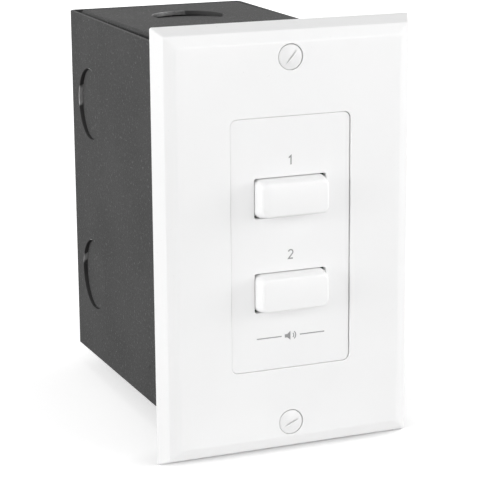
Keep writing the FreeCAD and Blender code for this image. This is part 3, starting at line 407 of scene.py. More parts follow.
# A plastic's values are its pale and dark tones, roughness, peel scale, relief and dust, and a
# metal's are its pale and dark tones and roughness.
materials = {
    "plate_white": plasticMaterial("plateWhite", (0.91, 0.91, 0.91), (0.89, 0.89, 0.89), 0.3),
    "bezel_white": plasticMaterial(
        "bezelWhite", (0.9, 0.9, 0.9), (0.885, 0.885, 0.887), 0.42, 1800.0
    ),
    "button_white": plasticMaterial(
        "buttonWhite", (0.92, 0.92, 0.92), (0.905, 0.905, 0.905), 0.34, 1400.0
    ),
    "screw_white": plasticMaterial(
        "screwWhite", (0.88, 0.88, 0.88), (0.85, 0.85, 0.85), 0.36, 2500.0, 0.00003
    ),
    "box_paint": paintMaterial("boxPaint"),
    "zinc_steel": metalMaterial("zincSteel", (0.66, 0.67, 0.69), (0.46, 0.47, 0.5), 0.34),
    "nickel_brass": metalMaterial("nickelBrass", (0.74, 0.7, 0.58), (0.55, 0.5, 0.38), 0.26),
    "contact_silver": metalMaterial("contactSilver", (0.83, 0.81, 0.76), (0.6, 0.56, 0.48), 0.22),
    "spring_steel": metalMaterial("springSteel", (0.5, 0.5, 0.52), (0.33, 0.33, 0.35), 0.3),
    "board_laminate": plasticMaterial(
        "boardLaminate", (0.03, 0.2, 0.08), (0.02, 0.13, 0.05), 0.35, 1600.0, 0.00002, 0.2
    ),
    "switch_black": plasticMaterial(
        "switchBlack", (0.03, 0.03, 0.032), (0.018, 0.018, 0.02), 0.5, 2200.0, 0.00003, 0.15
    ),
    "switch_base": plasticMaterial(
        "switchBase", (0.2, 0.12, 0.06), (0.13, 0.075, 0.035), 0.6, 1900.0, 0.00004
    ),
    "slider_white": plasticMaterial(
        "sliderWhite", (0.8, 0.8, 0.76), (0.74, 0.74, 0.7), 0.45, 1500.0, 0.00002
    ),
    "terminal_plastic": plasticMaterial(
        "terminalPlastic", (0.02, 0.2, 0.09), (0.012, 0.13, 0.06), 0.45, 1700.0, 0.00003, 0.15
    ),
}
slotOf = {part["node"]: part["material_slot"] for part in frame["record"]["subparts"]}
for name, node in nodes.items():
    node.data.materials[0] = materials[slotOf[name]]
# wrapEdgeShade: painted shade on the walls of the wrap's knockouts and stud holes, with bare steel
# in patches.
wrapEdgeShade = edgeShadeMaterial("wrapEdgeShade", 82)
# panelEdgeShade: painted shade on the walls of the panels' knockouts and screw holes; its bare
# steel is darkened too.
panelEdgeShade = edgeShadeMaterial("panelEdgeShade", 150, 0.47, 0.05, 0.22)
# seamShade: painted shade for the dark seam between the wrap's left edges and the panels.
seamShade = edgeShadeMaterial("seamShade", 60, 0.66)
inkGray = plasticMaterial("inkGray", (0.32, 0.32, 0.32), (0.28, 0.28, 0.28), 0.6, 3000.0)
print("materials ready:", len(materials), "slots, three sheared edges and the ink")


def ringOf(width, height, radius, y, x=0.0, z=0.0, steps=8):
    # A rounded rectangle across Y, anticlockwise seen from the front.
    ring = []
    for index, (signX, signZ) in enumerate(((1, 1), (-1, 1), (-1, -1), (1, -1))):
        for step in range(steps + 1):
            angle = math.pi / 2 * (index + step / steps)
            across = x + signX * (width / 2 - radius) + radius * math.cos(angle)
            up = z + signZ * (height / 2 - radius) + radius * math.sin(angle)
            ring.append(Vector((across, y, up)) * mm)
    return ring


def loft(shape, rings, closed=False, capped=False):
    rows = [[shape.verts.new(point) for point in ring] for ring in rings]
    pairs = list(zip(rows, rows[1:])) + ([(rows[-1], rows[0])] if closed else [])
    for first, second in pairs:
        for index, vert in enumerate(first):
            after = (index + 1) % len(first)
            shape.faces.new((vert, first[after], second[after], second[index]))
    if capped:
        shape.faces.new(rows[0][::-1])
        shape.faces.new(rows[-1])
    return rows


def turned(shape, profile, centre, axis, steps):
    # A body of revolution, its profile given as (radius, distance along the axis).
    axis = Vector(axis).normalized()
    side = axis.orthogonal().normalized()
    other = axis.cross(side)
    rings = []
    for radius, reach in profile:
        ring = []
        for step in range(steps):
            angle = 2 * math.pi * step / steps
            spoke = side * math.cos(angle) + other * math.sin(angle)
            ring.append((Vector(centre) + axis * reach + spoke * radius) * mm)
        rings.append(ring)
    loft(shape, rings, capped=True)


def filletPath(corners, steps):
    # An open path of (u, v, radius) corners, with an arc at each that has a radius.
    path = []
    for index, (u, v, radius) in enumerate(corners):
        here = Vector((u, v))
        if not radius:
            path.append(here)
            continue
        toLast = (Vector(corners[index - 1][:2]) - here).normalized()
        toNext = (Vector(corners[index + 1][:2]) - here).normalized()
        half = toLast.angle(toNext) / 2
        centre = here + (toLast + toNext).normalized() * radius / math.sin(half)
        first = here + toLast * radius / math.tan(half) - centre
        last = here + toNext * radius / math.tan(half) - centre
        start = math.atan2(first.y, first.x)
        sweep = math.remainder(math.atan2(last.y, last.x) - start, 2 * math.pi)
        for step in range(steps + 1):
            angle = start + sweep * step / steps
            path.append(centre + Vector((math.cos(angle), math.sin(angle))) * radius)
    return path


def meshObject(name, shape, finishes, solid=True):
    if solid:
        bmesh.ops.recalc_face_normals(shape, faces=shape.faces)
    mesh = bpy.data.meshes.new(name)
    shape.to_mesh(mesh)
    shape.free()
    for coat in finishes:
        mesh.materials.append(coat)
    piece = bpy.data.objects.new(name, mesh)
    bpy.context.scene.collection.objects.link(piece)
    return piece


def applyModifiers(piece):
    graph = bpy.context.evaluated_depsgraph_get()
    mesh = bpy.data.meshes.new_from_object(piece.evaluated_get(graph))
    piece.modifiers.clear()
    piece.data = mesh


def carve(piece, cutters):
    # Cuts each cutter out of the piece, and gives the cut walls the cutter's material.
    for cutter in cutters:
        cut = piece.modifiers.new("cut", "BOOLEAN")
        cut.operation = "DIFFERENCE"
        cut.solver = "EXACT"
        cut.material_mode = "TRANSFER"
        cut.object = cutter
    applyModifiers(piece)
    for cutter in cutters:
        bpy.data.objects.remove(cutter)


def finish(piece, body, replaced, sharp=32):
    # Smooth shading with sharp creases and face-weighted normals, then onto its body.
    for face in piece.data.polygons:
        face.use_smooth = True
    piece.data.set_sharp_from_angle(angle=math.radians(sharp))
    weighted = piece.modifiers.new("weighted", "WEIGHTED_NORMAL")
    weighted.keep_sharp = True
    applyModifiers(piece)
    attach(piece, body)
    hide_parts(replaced)
    print("piece:", piece.name, len(piece.data.polygons), "faces")


plateSet = {
    "width": 71.5,
    "height": 114.3,
    "face": -5.5,
    "footInset": 0.12,  # the small slope where the rim meets the wall
    "footFace": -0.2,
    "chamferInset": 1.95,
    "chamferFace": -4.4,
    "chamferRadius": 0.5,
    "shoulderInset": 4.8,
    "shoulderRadius": 2.4,
    "bendSteps": 8,
    "faceStrip": 4.2,
    "outerCorner": 0.6,
    "innerCorner": 1.6,
    "cornerReach": 2.4,
    "inside": -3.2,
    "rim": 3.65,
    "hollowCorner": 1.0,
    "opening": (33.6, 66.84, 1.85),  # width, height, corner radius
    "openingShift": 0.08,
    "lip": 0.16,
    "lipSteps": 5,
    "screwPitch": 96.84,
    "screwHole": 1.95,  # radius
    "sink": 3.4,  # radius
    "sinkWall": 0.4,
    "sinkEdge": 0.06,
    "cutFrom": -2,
    "cutTo": 8,
}


def makePlate():
    width, height = plateSet["width"], plateSet["height"]
    face, shoulder = plateSet["face"], plateSet["shoulderInset"]
    chamfer = plateSet["chamferInset"]
    outer, inner = plateSet["outerCorner"], plateSet["innerCorner"]
    path = filletPath([
        (plateSet["footInset"], 0, 0),
        (0, plateSet["footFace"], 0),
        (chamfer, plateSet["chamferFace"], plateSet["chamferRadius"]),
        (shoulder, face, plateSet["shoulderRadius"]),
        (shoulder + plateSet["faceStrip"], face, 0),
    ], plateSet["bendSteps"])
    rings = []
    for inset, y in path:
        reach = shoulder + plateSet["cornerReach"] - chamfer
        share = max(0, min(1, (inset - chamfer) / reach))
        corner = outer + (inner - outer) * share
        rings.append(ringOf(width - inset * 2, height - inset * 2, corner, y))
    openWidth, openHeight, openCorner = plateSet["opening"]
    lip, shift, steps = plateSet["lip"], plateSet["openingShift"], plateSet["lipSteps"]
    for step in range(steps + 1):
        angle = math.pi / 2 * step / steps
        out = lip * (1 - math.sin(angle))
        y = face + lip * (1 - math.cos(angle))
        wide, high = openWidth + out * 2, openHeight + out * 2
        rings.append(ringOf(wide, high, openCorner + out, y, shift))
    rings.append(ringOf(openWidth, openHeight, openCorner, plateSet["inside"], shift))
    rim = plateSet["rim"] * 2
    hollow = (width - rim, height - rim, plateSet["hollowCorner"])
    rings.append(ringOf(*hollow, plateSet["inside"]))
    rings.append(ringOf(*hollow, 0))
    shape = bmesh.new()
    loft(shape, rings, closed=True)
    plate = meshObject("plate_cover", shape, [materials["plate_white"]])
    keys = ("screwHole", "sink", "sinkWall", "sinkEdge")
    hole, sink, wall, edge = (plateSet[key] for key in keys)
    profile = [
        (hole, plateSet["cutTo"]), (hole, wall + sink - hole), (sink, wall), (sink, edge),
        (sink + edge, 0), (sink + edge, plateSet["cutFrom"]),
    ]
    cutters = []
    for side in (1, -1):
        cutter = bmesh.new()
        turned(cutter, profile, (0, face, plateSet["screwPitch"] / 2 * side), (0, 1, 0), steps=64)
        cutters.append(meshObject("plateHole", cutter, [materials["plate_white"]]))
    carve(plate, cutters)
    finish(plate, "frame", "wall_plate")


screwSet = {
    "head": 3.2,  # radius
    "headSlope": 0.02,
    "headEdge": 0.05,
    "sunk": 0.14,
    "dome": 0.5,
    "domeRings": (0.02, 0.7, 1.3, 1.9, 2.4, 2.9),
    "shank": 1.7,  # radius
    "thread": 0.22,
    "threadPitch": 0.8,
    "threadFrom": 0.3,
    "threadEnd": 0.9,
    "tip": 5.35,
    "tipRings": ((0.1, 0.3), (0.5, 0)),  # less radius, short of the tip
    "slot": 0.55,
    "slotReach": 0.9,
    "slotSteps": 6,
    "slotFloor": 0.12,
    "slotRise": 0.062,
    "slotEdge": 0.05,
    "slotFlare": (0.2, 0.6),  # wider, in front of the head
    "offset": (-0.07, -0.05),
    "slotAngles": (48, 24),  # degrees, upper and lower screw
}


def makePlateScrews():
    head, dome, shank = screwSet["head"], screwSet["dome"], screwSet["shank"]
    edge, tip = screwSet["headEdge"], screwSet["tip"]
    ball = (head * head + dome * dome) / (2 * dome)
    profile = []
    for radius in (*screwSet["domeRings"], head):
        profile.append((radius, ball - dome - math.sqrt(ball * ball - radius * radius)))
    profile += [(head - screwSet["headSlope"], 0.0), (head, edge), (shank, head - shank + edge)]
    reach = head - shank + screwSet["threadFrom"]
    while reach < tip - screwSet["threadEnd"]:
        profile.append((shank, reach))
        profile.append((shank - screwSet["thread"], reach + screwSet["threadPitch"] / 2))
        reach += screwSet["threadPitch"]
    profile += [(shank - less, tip - short) for less, short in screwSet["tipRings"]]
    rim = plateSet["face"] + screwSet["sunk"]
    shape = bmesh.new()
    cutters = []
    for side, angle in zip((1, -1), screwSet["slotAngles"]):
        x, z = screwSet["offset"]
        z += plateSet["screwPitch"] / 2 * side
        turned(shape, profile, (x, rim, z), (0, 1, 0), steps=64)
        cutter = bmesh.new()
        wide, high = screwSet["slot"] / 2, rim - dome
        mouth, steps = high - screwSet["slotEdge"], screwSet["slotSteps"]
        flare, above = screwSet["slotFlare"]
        turn = Matrix.Translation(Vector((x, 0, z)) * mm)
        turn = turn @ Matrix.Rotation(-math.radians(angle), 4, "Y")
        rings = []
        for step in range(-steps, steps + 1):
            along = head * screwSet["slotReach"] * step / steps
            low = rim + screwSet["slotFloor"] - screwSet["slotRise"] * along * along
            section = [(wide, low), (wide, mouth), (wide + flare, high - above)]
            section += [(-across, y) for across, y in section[::-1]]
            rings.append([turn @ (Vector((along, y, across)) * mm) for across, y in section])
        loft(cutter, rings, capped=True)
        cutters.append(meshObject("slotCutter", cutter, [materials["screw_white"]]))
    screws = meshObject("cover_screws", shape, [materials["screw_white"]])
    carve(screws, cutters)
    finish(screws, "frame", "plate_screws")


bezelSet = {
    "width": 33.3,
    "height": 66.7,
    "corner": 1.8,
    "face": -5.25,
    "back": -1.2,
    "edge": 0.2,
    "edgeSteps": 5,
    "wall": 1.6,
    "faceWall": 1.9,
    "hollowCorner": 0.4,
    "window": (20.04, 10.44, 0.5),  # width, height, corner radius
    "windowEdge": 0.12,
    "windowCut": 1,
    "windowPitch": 25,
    "boss": 2.4,  # radius
    "bossPitch": (20, 57),
    "pilot": 1.1,  # radius
    "pilotDepth": 2.75,
}


def makeBezel():
    # The shell first, from its hollow's floor round the skirt to its face.
    width, height, corner = (bezelSet[key] for key in ("width", "height", "corner"))
    face, back, wall, edge = (bezelSet[key] for key in ("face", "back", "wall", "edge"))
    inside = face + bezelSet["faceWall"]
    hollow = (width - wall * 2, height - wall * 2, bezelSet["hollowCorner"])
    rings = [ringOf(*hollow, inside), ringOf(*hollow, back), ringOf(width, height, corner, back)]
    steps = bezelSet["edgeSteps"]
    for step in range(steps + 1):
        angle = math.pi / 2 * step / steps
        inset = edge * (1 - math.cos(angle))
        y = face + edge * (1 - math.sin(angle))
        rings.append(ringOf(width - inset * 2, height - inset * 2, corner - inset, y))
    shape = bmesh.new()
    loft(shape, rings, capped=True)
    bezel = meshObject("bezel_panel", shape, [materials["bezel_white"]])
    wide, high, radius = bezelSet["window"]
    over = bezelSet["windowCut"]
    levels = ((edge, face - over), (edge, face), (0, face + edge), (0, inside + over))
    cutters = []
    for side in (1, -1):
        level = bezelSet["windowPitch"] / 2 * side
        window = bmesh.new()
        rings = []
        for grow, y in levels:
            grow *= bezelSet["windowEdge"] / edge
            size = (wide + grow * 2, high + grow * 2, radius + grow)
            rings.append(ringOf(*size, y, z=level))
        loft(window, rings, capped=True)
        cutters.append(meshObject("windowCutter", window, [materials["bezel_white"]]))
    carve(bezel, cutters)
    finish(bezel, "frame", "front_bezel")
    bosses = bmesh.new()
    boss, pilot = bezelSet["boss"], bezelSet["pilot"]
    skin = back - inside + bezelSet["faceWall"] / 2
    profile = [(pilot, bezelSet["pilotDepth"]), (pilot, 0), (boss, 0), (boss, skin)]
    for x in (-1, 1):
        for z in (-1, 1):
            place = (bezelSet["bossPitch"][0] / 2 * x, back, bezelSet["bossPitch"][1] / 2 * z)
            turned(bosses, profile, place, (0, -1, 0), steps=40)
    bosses = meshObject("bezel_bosses", bosses, [materials["bezel_white"]])
    finish(bosses, "frame", "front_bezel")


buttonSet = {
    "width": 19.84,
    "height": 10.1,
    "face": -9.1,
    "draft": 10.5,  # degrees
    "corner": 1.9,
    "cornerLoss": 0.3,
    "faceRadius": 0.7,
    "faceSteps": 7,
    "faceStrip": 3,
    "crown": 0.14,
    "crownSteps": 6,
    "crownLine": 0.15,
    "crownCorner": 1.4,
    "crownTip": 0.1,
    "flange": 1.3,
    "flangeCorner": 6.2,
    "flangeFace": -3.25,
    "back": -2.05,
    "wall": 1.5,
    "innerCorner": 0.5,
    "socket": 3.0,  # radius
    "socketBack": -0.85,
    "stemHole": 3.3,
    "stemHoleCorner": 0.15,
    "stemHoleFloor": -7.05,
}


def makeButtonCap(number, z):
    width, height = buttonSet["width"], buttonSet["height"]
    face, bezel, back = buttonSet["face"], bezelSet["face"], buttonSet["back"]
    wall, flange, crown = buttonSet["wall"], buttonSet["flange"], buttonSet["crown"]
    flangeCorner = buttonSet["flangeCorner"]
    lean = (bezel - face) * math.tan(math.radians(buttonSet["draft"]))
    edge = face + crown

    def ring(inset, y, corner):
        return ringOf(width - inset * 2, height - inset * 2, corner, y, z=z)

    rings = [
        ring(wall, face + wall, buttonSet["innerCorner"]),
        ring(wall, back, buttonSet["innerCorner"]),
        ring(-flange, back, flangeCorner),
        ring(-flange, buttonSet["flangeFace"], flangeCorner),
        ring(0, buttonSet["flangeFace"], buttonSet["corner"]),
    ]
    path = filletPath([
        (0, bezel, 0),
        (lean, edge, buttonSet["faceRadius"]),
        (lean + buttonSet["faceStrip"], edge, 0),
    ], buttonSet["faceSteps"])[:-1]
    for inset, y in path:
        rings.append(ring(inset, y, buttonSet["corner"] - inset * buttonSet["cornerLoss"]))
    last = path[-1].x
    for step in range(buttonSet["crownSteps"]):
        share = (step + 1) / buttonSet["crownSteps"]
        inset = last + (height / 2 - buttonSet["crownLine"] - last) * share
        sag = crown * (1 - (1 - share) ** 2)
        corner = buttonSet["crownCorner"] * (1 - share) + buttonSet["crownTip"]
        rings.append(ring(inset, edge - sag, corner))
    shape = bmesh.new()
    loft(shape, rings, capped=True)
    socket, hole = buttonSet["socket"], buttonSet["stemHole"]
    outside = (socket * 2, socket * 2, socket)
    inside = (hole, hole, buttonSet["stemHoleCorner"])
    loft(shape, [
        ringOf(*outside, face + wall / 2, z=z),
        ringOf(*outside, buttonSet["socketBack"], z=z),
        ringOf(*inside, buttonSet["socketBack"], z=z),
        ringOf(*inside, buttonSet["stemHoleFloor"], z=z),
    ], capped=True)
    cap = meshObject(f"button_cap_{number}", shape, [materials["button_white"]])
    finish(cap, f"button_{number}", f"button_{number}")


markSet = {
    "depth": 0.03,
    "numeralHeight": 2.3,
    "flag": 0.5,
    "stem": 0.12,
    "bowl": 0.62,
    "bowlStart": 165,  # degrees, as are bowlSweep and arcHalf
    "bowlSweep": 205,
    "stroke": 0.34,
    "numerals": (("1", 21.9), ("2", -2.8)),
    "signLevel": -24.7,
    "signScale": 1.0,
    "horn": ((-1.7, -0.45), (-1.0, -0.45), (-0.1, -1.2), (-0.1, 1.2), (-1.0, 0.45), (-1.7, 0.45)),
    "arcs": (0.75, 1.3),
    "arcCentre": 0.1,
    "arcHalf": 48,
    "arcSteps": 12,
    "ruleFrom": 2.6,
    "ruleReach": 9.6,
    "line": 0.28,
}


def printArea(shape, outline):
    # A flat printed area: an outline of (x, z) points given the ink's thickness.
    face, half = bezelSet["face"], markSet["depth"] / 2
    rings = [[Vector((x, y, z)) * mm for x, z in outline] for y in (face + half, face - half)]
    loft(shape, rings, capped=True)


def printStroke(shape, path, width):
    # A printed line along a path, with mitred corners.
    points = [Vector(point) for point in path]
    left, right = [], []
    for index, point in enumerate(points):
        runs = [b - a for a, b in zip(points, points[1:])][max(index - 1, 0):index + 1]
        sides = [Vector((-run.y, run.x)).normalized() for run in runs]
        mitre = sum(sides, Vector((0, 0))).normalized()
        reach = mitre * width / 2 / mitre.dot(sides[0])
        left.append(point + reach)
        right.append(point - reach)
    printArea(shape, left + right[::-1])


def makeNumeral(text, z):
    # Printed numeral, centred above its button.
    half, bowl, steps = markSet["numeralHeight"] / 2, markSet["bowl"], markSet["arcSteps"]
    flag, stem = markSet["flag"], markSet["stem"]
    if text == "1":
        path = [(-flag, half - flag), (stem, half), (stem, -half)]
    else:
        start, sweep = markSet["bowlStart"], markSet["bowlSweep"]
        angles = [math.radians(start - sweep * step / steps) for step in range(steps + 1)]
        path = [(bowl * math.cos(a), half - bowl + bowl * math.sin(a)) for a in angles]
        path += [(-bowl, -half), (bowl, -half)]
    shape = bmesh.new()
    printStroke(shape, [(x, up + z) for x, up in path], markSet["stroke"])
    piece = meshObject(f"numeral_{text}", shape, [inkGray])
    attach(piece, "frame")


def makeSign():
    # A loudspeaker sign with two sound arcs, between two thin rules.
    level, half, scale = markSet["signLevel"], markSet["line"] / 2, markSet["signScale"]
    spread, steps = markSet["arcHalf"], markSet["arcSteps"]
    shape = bmesh.new()
    printArea(shape, [(x * scale, z * scale + level) for x, z in markSet["horn"]])
    for radius in markSet["arcs"]:
        outer, inner = [], []
        for step in range(steps + 1):
            angle = math.radians(-spread + spread * 2 * step / steps)
            for points, reach in ((outer, radius + half), (inner, radius - half)):
                x = (reach * math.cos(angle) + markSet["arcCentre"]) * scale
                points.append((x, reach * math.sin(angle) * scale + level))
        printArea(shape, outer + inner[::-1])
    for side in (1, -1):
        near, far = sorted((markSet["ruleFrom"] * side, markSet["ruleReach"] * side))
        low, high = level - half, level + half
        printArea(shape, [(near, low), (far, low), (far, high), (near, high)])
    piece = meshObject("loudspeaker_sign", shape, [inkGray])
    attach(piece, "frame")


springSet = {
    "wire": 0.36,  # diameter
    "turns": 7,
    "deadTurns": 0.8,
    "travel": 3,
    "turnSteps": 20,
    "wireSteps": 8,
}


def makeSpring(number):
    # A return spring with closed ends, coiled at the length of its CAD part.
    low, high = (Vector(corner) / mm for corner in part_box(f"switch_{number}_spring"))
    wire = springSet["wire"] / 2
    centre, coil = (low + high) / 2, (high.x - low.x) / 2 - wire
    front, back = low.y + wire, high.y - wire
    live, dead = springSet["turns"], springSet["deadTurns"]
    closing = dead * wire * 2
    steps = round((live + dead * 2) * springSet["turnSteps"])
    shape = bmesh.new()
    rings = []
    for step in range(steps + 1):
        turns = step / springSet["turnSteps"]
        if turns < dead:
            y = front + closing * turns / dead
        elif turns > live + dead:
            y = back - closing * (live + dead * 2 - turns) / dead
        else:
            y = front + closing + (back - front - closing * 2) * (turns - dead) / live
        angle = 2 * math.pi * turns
        out = Vector((math.cos(angle), 0, math.sin(angle)))
        middle = Vector((centre.x, y, centre.z)) + out * coil
        ring = []
        for side in range(springSet["wireSteps"]):
            around = 2 * math.pi * side / springSet["wireSteps"]
            spoke = out * math.cos(around) + Vector((0, 1, 0)) * math.sin(around)
            ring.append((middle + spoke * wire) * mm)
        rings.append(ring)
    loft(shape, rings, capped=True)
    spring = meshObject(f"return_spring_{number}", shape, [materials["spring_steel"]])
    finish(spring, "frame", f"switch_{number}_spring", sharp=60)
    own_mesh(spring)


makePlate()
makePlateScrews()
makeBezel()
for number, side in ((1, 1), (2, -1)):
    makeButtonCap(number, bezelSet["windowPitch"] / 2 * side)
for text, z in markSet["numerals"]:
    makeNumeral(text, z)
makeSign()
for number in (1, 2):
    makeSpring(number)
print("front pieces and springs ready")


boxSet = {
    "width": 54,
    "height": 101.6,
    "depth": 95,
    "sheet": 1.2,
    "bend": 2,
    "bendSteps": 8,
    "sideEnd": 50.7,
    "sideDrop": 0.8,
    "burr": 0.15,
    "burrAngle": 60,
    "flangeGap": 0.9,
    "rightShift": 0.7,
    "panelTaper": 1.9,
    "panelBend": 1.1,
    "flangeEnd": 36.8,
    "relief": 2.6,
    "earWidth": 16,
    "earEnd": 37.6,
    "earBend": 1.6,
    "screwHole": 1.75,  # radius
    "screwLevel": 41.65,
    "holeRoll": ((0.18, -1.5), (0.18, 0), (0.05, 0.06), (0, 0.2), (0, 4)),  # more radius, depth
    "knockout": 10.25,  # radius
    "slugGap": 0.08,
    "slugEdge": ((0.3, 0), (0.1, 0.04), (0, 0.2)),  # less radius, depth
    "slugSink": 0.6,
    "capSink": 0.95,
    "slugTilt": 3,  # degrees
    "tab": 3,
    "tabReach": 0.8,
    "tabFront": 0.55,
    "tabBack": 0.25,
    "knockoutLevel": 25.4,
    "sideKnockout": 77.1,
    "capKnockout": 67.4,
    "studHole": 2.4,  # radius
    "studPlace": 40,
    "weld": (28.8, -40.3),  # y and z
    "weldRings": ((1.3, -0.6), (1.15, 0), (0.85, 0.14), (0.45, 0.22), (0.03, 0.25)),
}


def holeCutter(centre, inward, radius, finishes):
    # A round hole whose mouth is slightly rolled over.
    profile = [(radius + more, depth) for more, depth in boxSet["holeRoll"]]
    cutter = bmesh.new()
    turned(cutter, profile, centre, inward, steps=72)
    return meshObject("holeCutter", cutter, finishes)


def dimpleCutter(centre, inward):
    # The shallow mark of a spot weld, turned from (radius, depth) rings.
    cutter = bmesh.new()
    turned(cutter, boxSet["weldRings"], centre, inward, steps=32)
    return meshObject("dimpleCutter", cutter, [materials["box_paint"]])


def addSlug(shape, centre, inward, toTab, sink):
    # A sheared slug, pushed in and tilted on the one tab that still holds it.
    centre, inward, toTab = Vector(centre), Vector(inward), Vector(toTab)
    tilt = math.radians(boxSet["slugTilt"])
    axis = inward * math.cos(tilt) + toTab * math.sin(tilt)
    radius, sheet = boxSet["knockout"] - boxSet["slugGap"], boxSet["sheet"]
    profile = [(radius - less, depth) for less, depth in boxSet["slugEdge"]]
    profile.append((radius, sheet))
    turned(shape, profile, centre + inward * sink, axis, steps=72)
    side = inward.cross(toTab)
    half, reach = boxSet["tab"] / 2, boxSet["tabReach"]
    rings = []
    for depth in (boxSet["tabFront"], sheet + boxSet["tabBack"]):
        ring = []
        for out, across in ((-reach, -half), (reach, -half), (reach, half), (-reach, half)):
            corner = centre + toTab * (radius + out) + side * across + inward * depth
            ring.append(corner * mm)
        rings.append(ring)
    loft(shape, rings, capped=True)


def wrapSection(inset):
    # The folded strip seen from above: outer path one way, inner path back.
    half, depth, sheet, bend = (boxSet[key] for key in ("width", "depth", "sheet", "bend"))
    half /= 2
    ring = []
    for offset in (inset, sheet - inset):
        x, y, radius = half - offset, depth - offset, bend - offset
        corners = [(-x, inset, 0), (-x, y, radius), (x, y, radius), (x, inset, 0)]
        path = filletPath(corners, boxSet["bendSteps"])
        ring += path if not ring else path[::-1]
    return ring


def makeBoxWrap():
    end, burr, drop = boxSet["sideEnd"], boxSet["burr"], boxSet["sideDrop"]
    rings = []
    for side, below, inset in ((-1, 0, burr), (-1, burr, 0), (1, burr, 0), (1, 0, burr)):
        ring = []
        for x, y in wrapSection(inset):
            # The side's edge falls a little towards the front.
            level = end - below - drop * (1 - y / boxSet["depth"])
            ring.append(Vector((x, y, level * side)) * mm)
        rings.append(ring)
    shape = bmesh.new()
    rows = loft(shape, rings)
    # The sheared edges close both ends. The left half's carry painted shade, a near-black coat with
    # a few bare steel patches that darkens the seam beside the panels, and the right half's keep
    # the box paint.
    for row in (rows[0], rows[-1]):
        for index in range(len(row) // 2 - 1):
            corners = (row[index], row[index + 1], row[-index - 2], row[-index - 1])
            face = shape.faces.new(corners)
            face.material_index = 1 if corners[0].co.x < 0 else 0
    paint = [materials["box_paint"]]
    wrap = meshObject("folded_wrap", shape, paint + [seamShade, wrapEdgeShade])
    half, level = boxSet["width"] / 2, boxSet["knockoutLevel"]
    slugs = bmesh.new()
    cutters = []
    holes = []
    for z in (level, -level):
        for side in (-1, 1):
            holes.append(((half * side, boxSet["sideKnockout"], z), (-side, 0, 0), (0, -1, 0)))
        holes.append(((0, boxSet["depth"], z), (0, -1, 0), (0, 0, 1)))
        stud = (half, boxSet["studPlace"], z)
        cutters.append(holeCutter(stud, (-1, 0, 0), boxSet["studHole"], [wrapEdgeShade]))
    for centre, inward, toTab in holes:
        cutters.append(holeCutter(centre, inward, boxSet["knockout"], [wrapEdgeShade]))
        addSlug(slugs, centre, inward, toTab, boxSet["slugSink"])
    for side in (-1, 1):
        cutters.append(dimpleCutter((half * side, *boxSet["weld"]), (-side, 0, 0)))
    carve(wrap, cutters)
    finish(wrap, "frame", "box_wrap")
    finish(meshObject("wrap_slugs", slugs, paint), "frame", "box_wrap")


def panelStations(flat, bend, end, outer):
    # One way across a panel: its flat stations, then round the bend and down the flange.
    stations = [(place, outer, True) for place in flat]
    start, steps = flat[-1], boxSet["bendSteps"]
    for step in range(1, steps + 1):
        angle = math.pi / 2 * step / steps
        place = start + bend * math.sin(angle)
        stations.append((place, outer - bend * (1 - math.cos(angle)), False))
    stations.append((start + bend, end, False))
    return stations


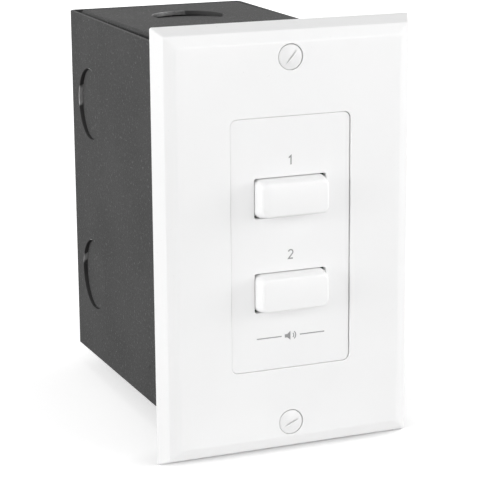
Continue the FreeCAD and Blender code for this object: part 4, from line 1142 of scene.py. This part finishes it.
def makeBoxPanel(name, up, replaced):
    # The top or bottom panel, folded from one sheet: three flanges and a front ear.
    outer, bend, relief = boxSet["height"] / 2, boxSet["panelBend"], boxSet["relief"]
    loss = boxSet["sheet"] + boxSet["flangeGap"]
    half, depth = boxSet["width"] / 2 - loss, boxSet["depth"] - loss
    ear, earBend, taper = boxSet["earWidth"] / 2, boxSet["earBend"], boxSet["panelTaper"]
    right = panelStations([0, ear, half - relief, half - bend], bend, boxSet["flangeEnd"], outer)
    across = [(-x, z, flat) for x, z, flat in right[:0:-1]] + right
    front = panelStations([-earBend], earBend, boxSet["earEnd"], outer)[1:]
    front = [(-y, z, False) for y, z, _ in front[::-1]]
    back = [earBend, depth - relief, depth - bend]
    along = front + panelStations(back, bend, boxSet["flangeEnd"], outer) + [(0, outer, True)]
    edge = len(along) - 1
    slack = 0.01
    shape = bmesh.new()
    verts = {}

    def vertAt(i, j):
        # The left gap widens towards the front, and the right one is narrow all along.
        if (i, j) not in verts:
            x, zAcross, _ = across[i]
            y, zAlong, _ = along[j]
            if x < -ear:
                x += taper * (1 - y / boxSet["depth"])
            elif x > ear:
                x += boxSet["rightShift"]
            verts[i, j] = shape.verts.new(Vector((x, y, min(zAcross, zAlong) * up)) * mm)
        return verts[i, j]

    for i in range(len(across) - 1):
        flatAcross = across[i][2] and across[i + 1][2]
        reach = max(abs(across[i][0]), abs(across[i + 1][0]))
        for j in range(edge):
            if j < len(front):
                made = reach <= ear
            elif along[j + 1][2]:
                made = flatAcross or along[j + 1][0] <= depth - relief + slack
            else:
                made = flatAcross and reach <= half - relief + slack
            strips = [(j, j + 1)] if made and j + 1 < edge else []
            if j == len(front) and reach > ear:  # beside the ear the sheet starts at y = 0
                strips.append((edge, j))
            for low, high in strips:
                corners = [vertAt(i, low), vertAt(i + 1, low), vertAt(i + 1, high), vertAt(i, high)]
                shape.faces.new(corners if up > 0 else corners[::-1])
    paint = [materials["box_paint"]]
    panel = meshObject(name, shape, paint + [panelEdgeShade], solid=False)
    thick = panel.modifiers.new("sheet", "SOLIDIFY")
    thick.thickness = boxSet["sheet"] * mm
    thick.offset = -1
    thick.use_even_offset = True
    soften = panel.modifiers.new("burr", "BEVEL")
    soften.width = boxSet["burr"] * mm
    soften.segments = 2
    soften.limit_method = "ANGLE"
    soften.angle_limit = math.radians(boxSet["burrAngle"])
    applyModifiers(panel)
    hole = (0, boxSet["capKnockout"], outer * up)
    screw = (0, 0, boxSet["screwLevel"] * up)
    carve(panel, [
        holeCutter(hole, (0, 0, -up), boxSet["knockout"], [panelEdgeShade]),
        holeCutter(screw, (0, 1, 0), boxSet["screwHole"], [panelEdgeShade]),
    ])
    finish(panel, "frame", replaced)
    slug = bmesh.new()
    addSlug(slug, hole, (0, 0, -up), (0, -1, 0), boxSet["capSink"])
    finish(meshObject(f"{name}_slug", slug, paint), "frame", replaced)


makeBoxWrap()
makeBoxPanel("top_panel", 1, "box_top")
makeBoxPanel("bottom_panel", -1, "box_bottom")
print("box pieces ready")
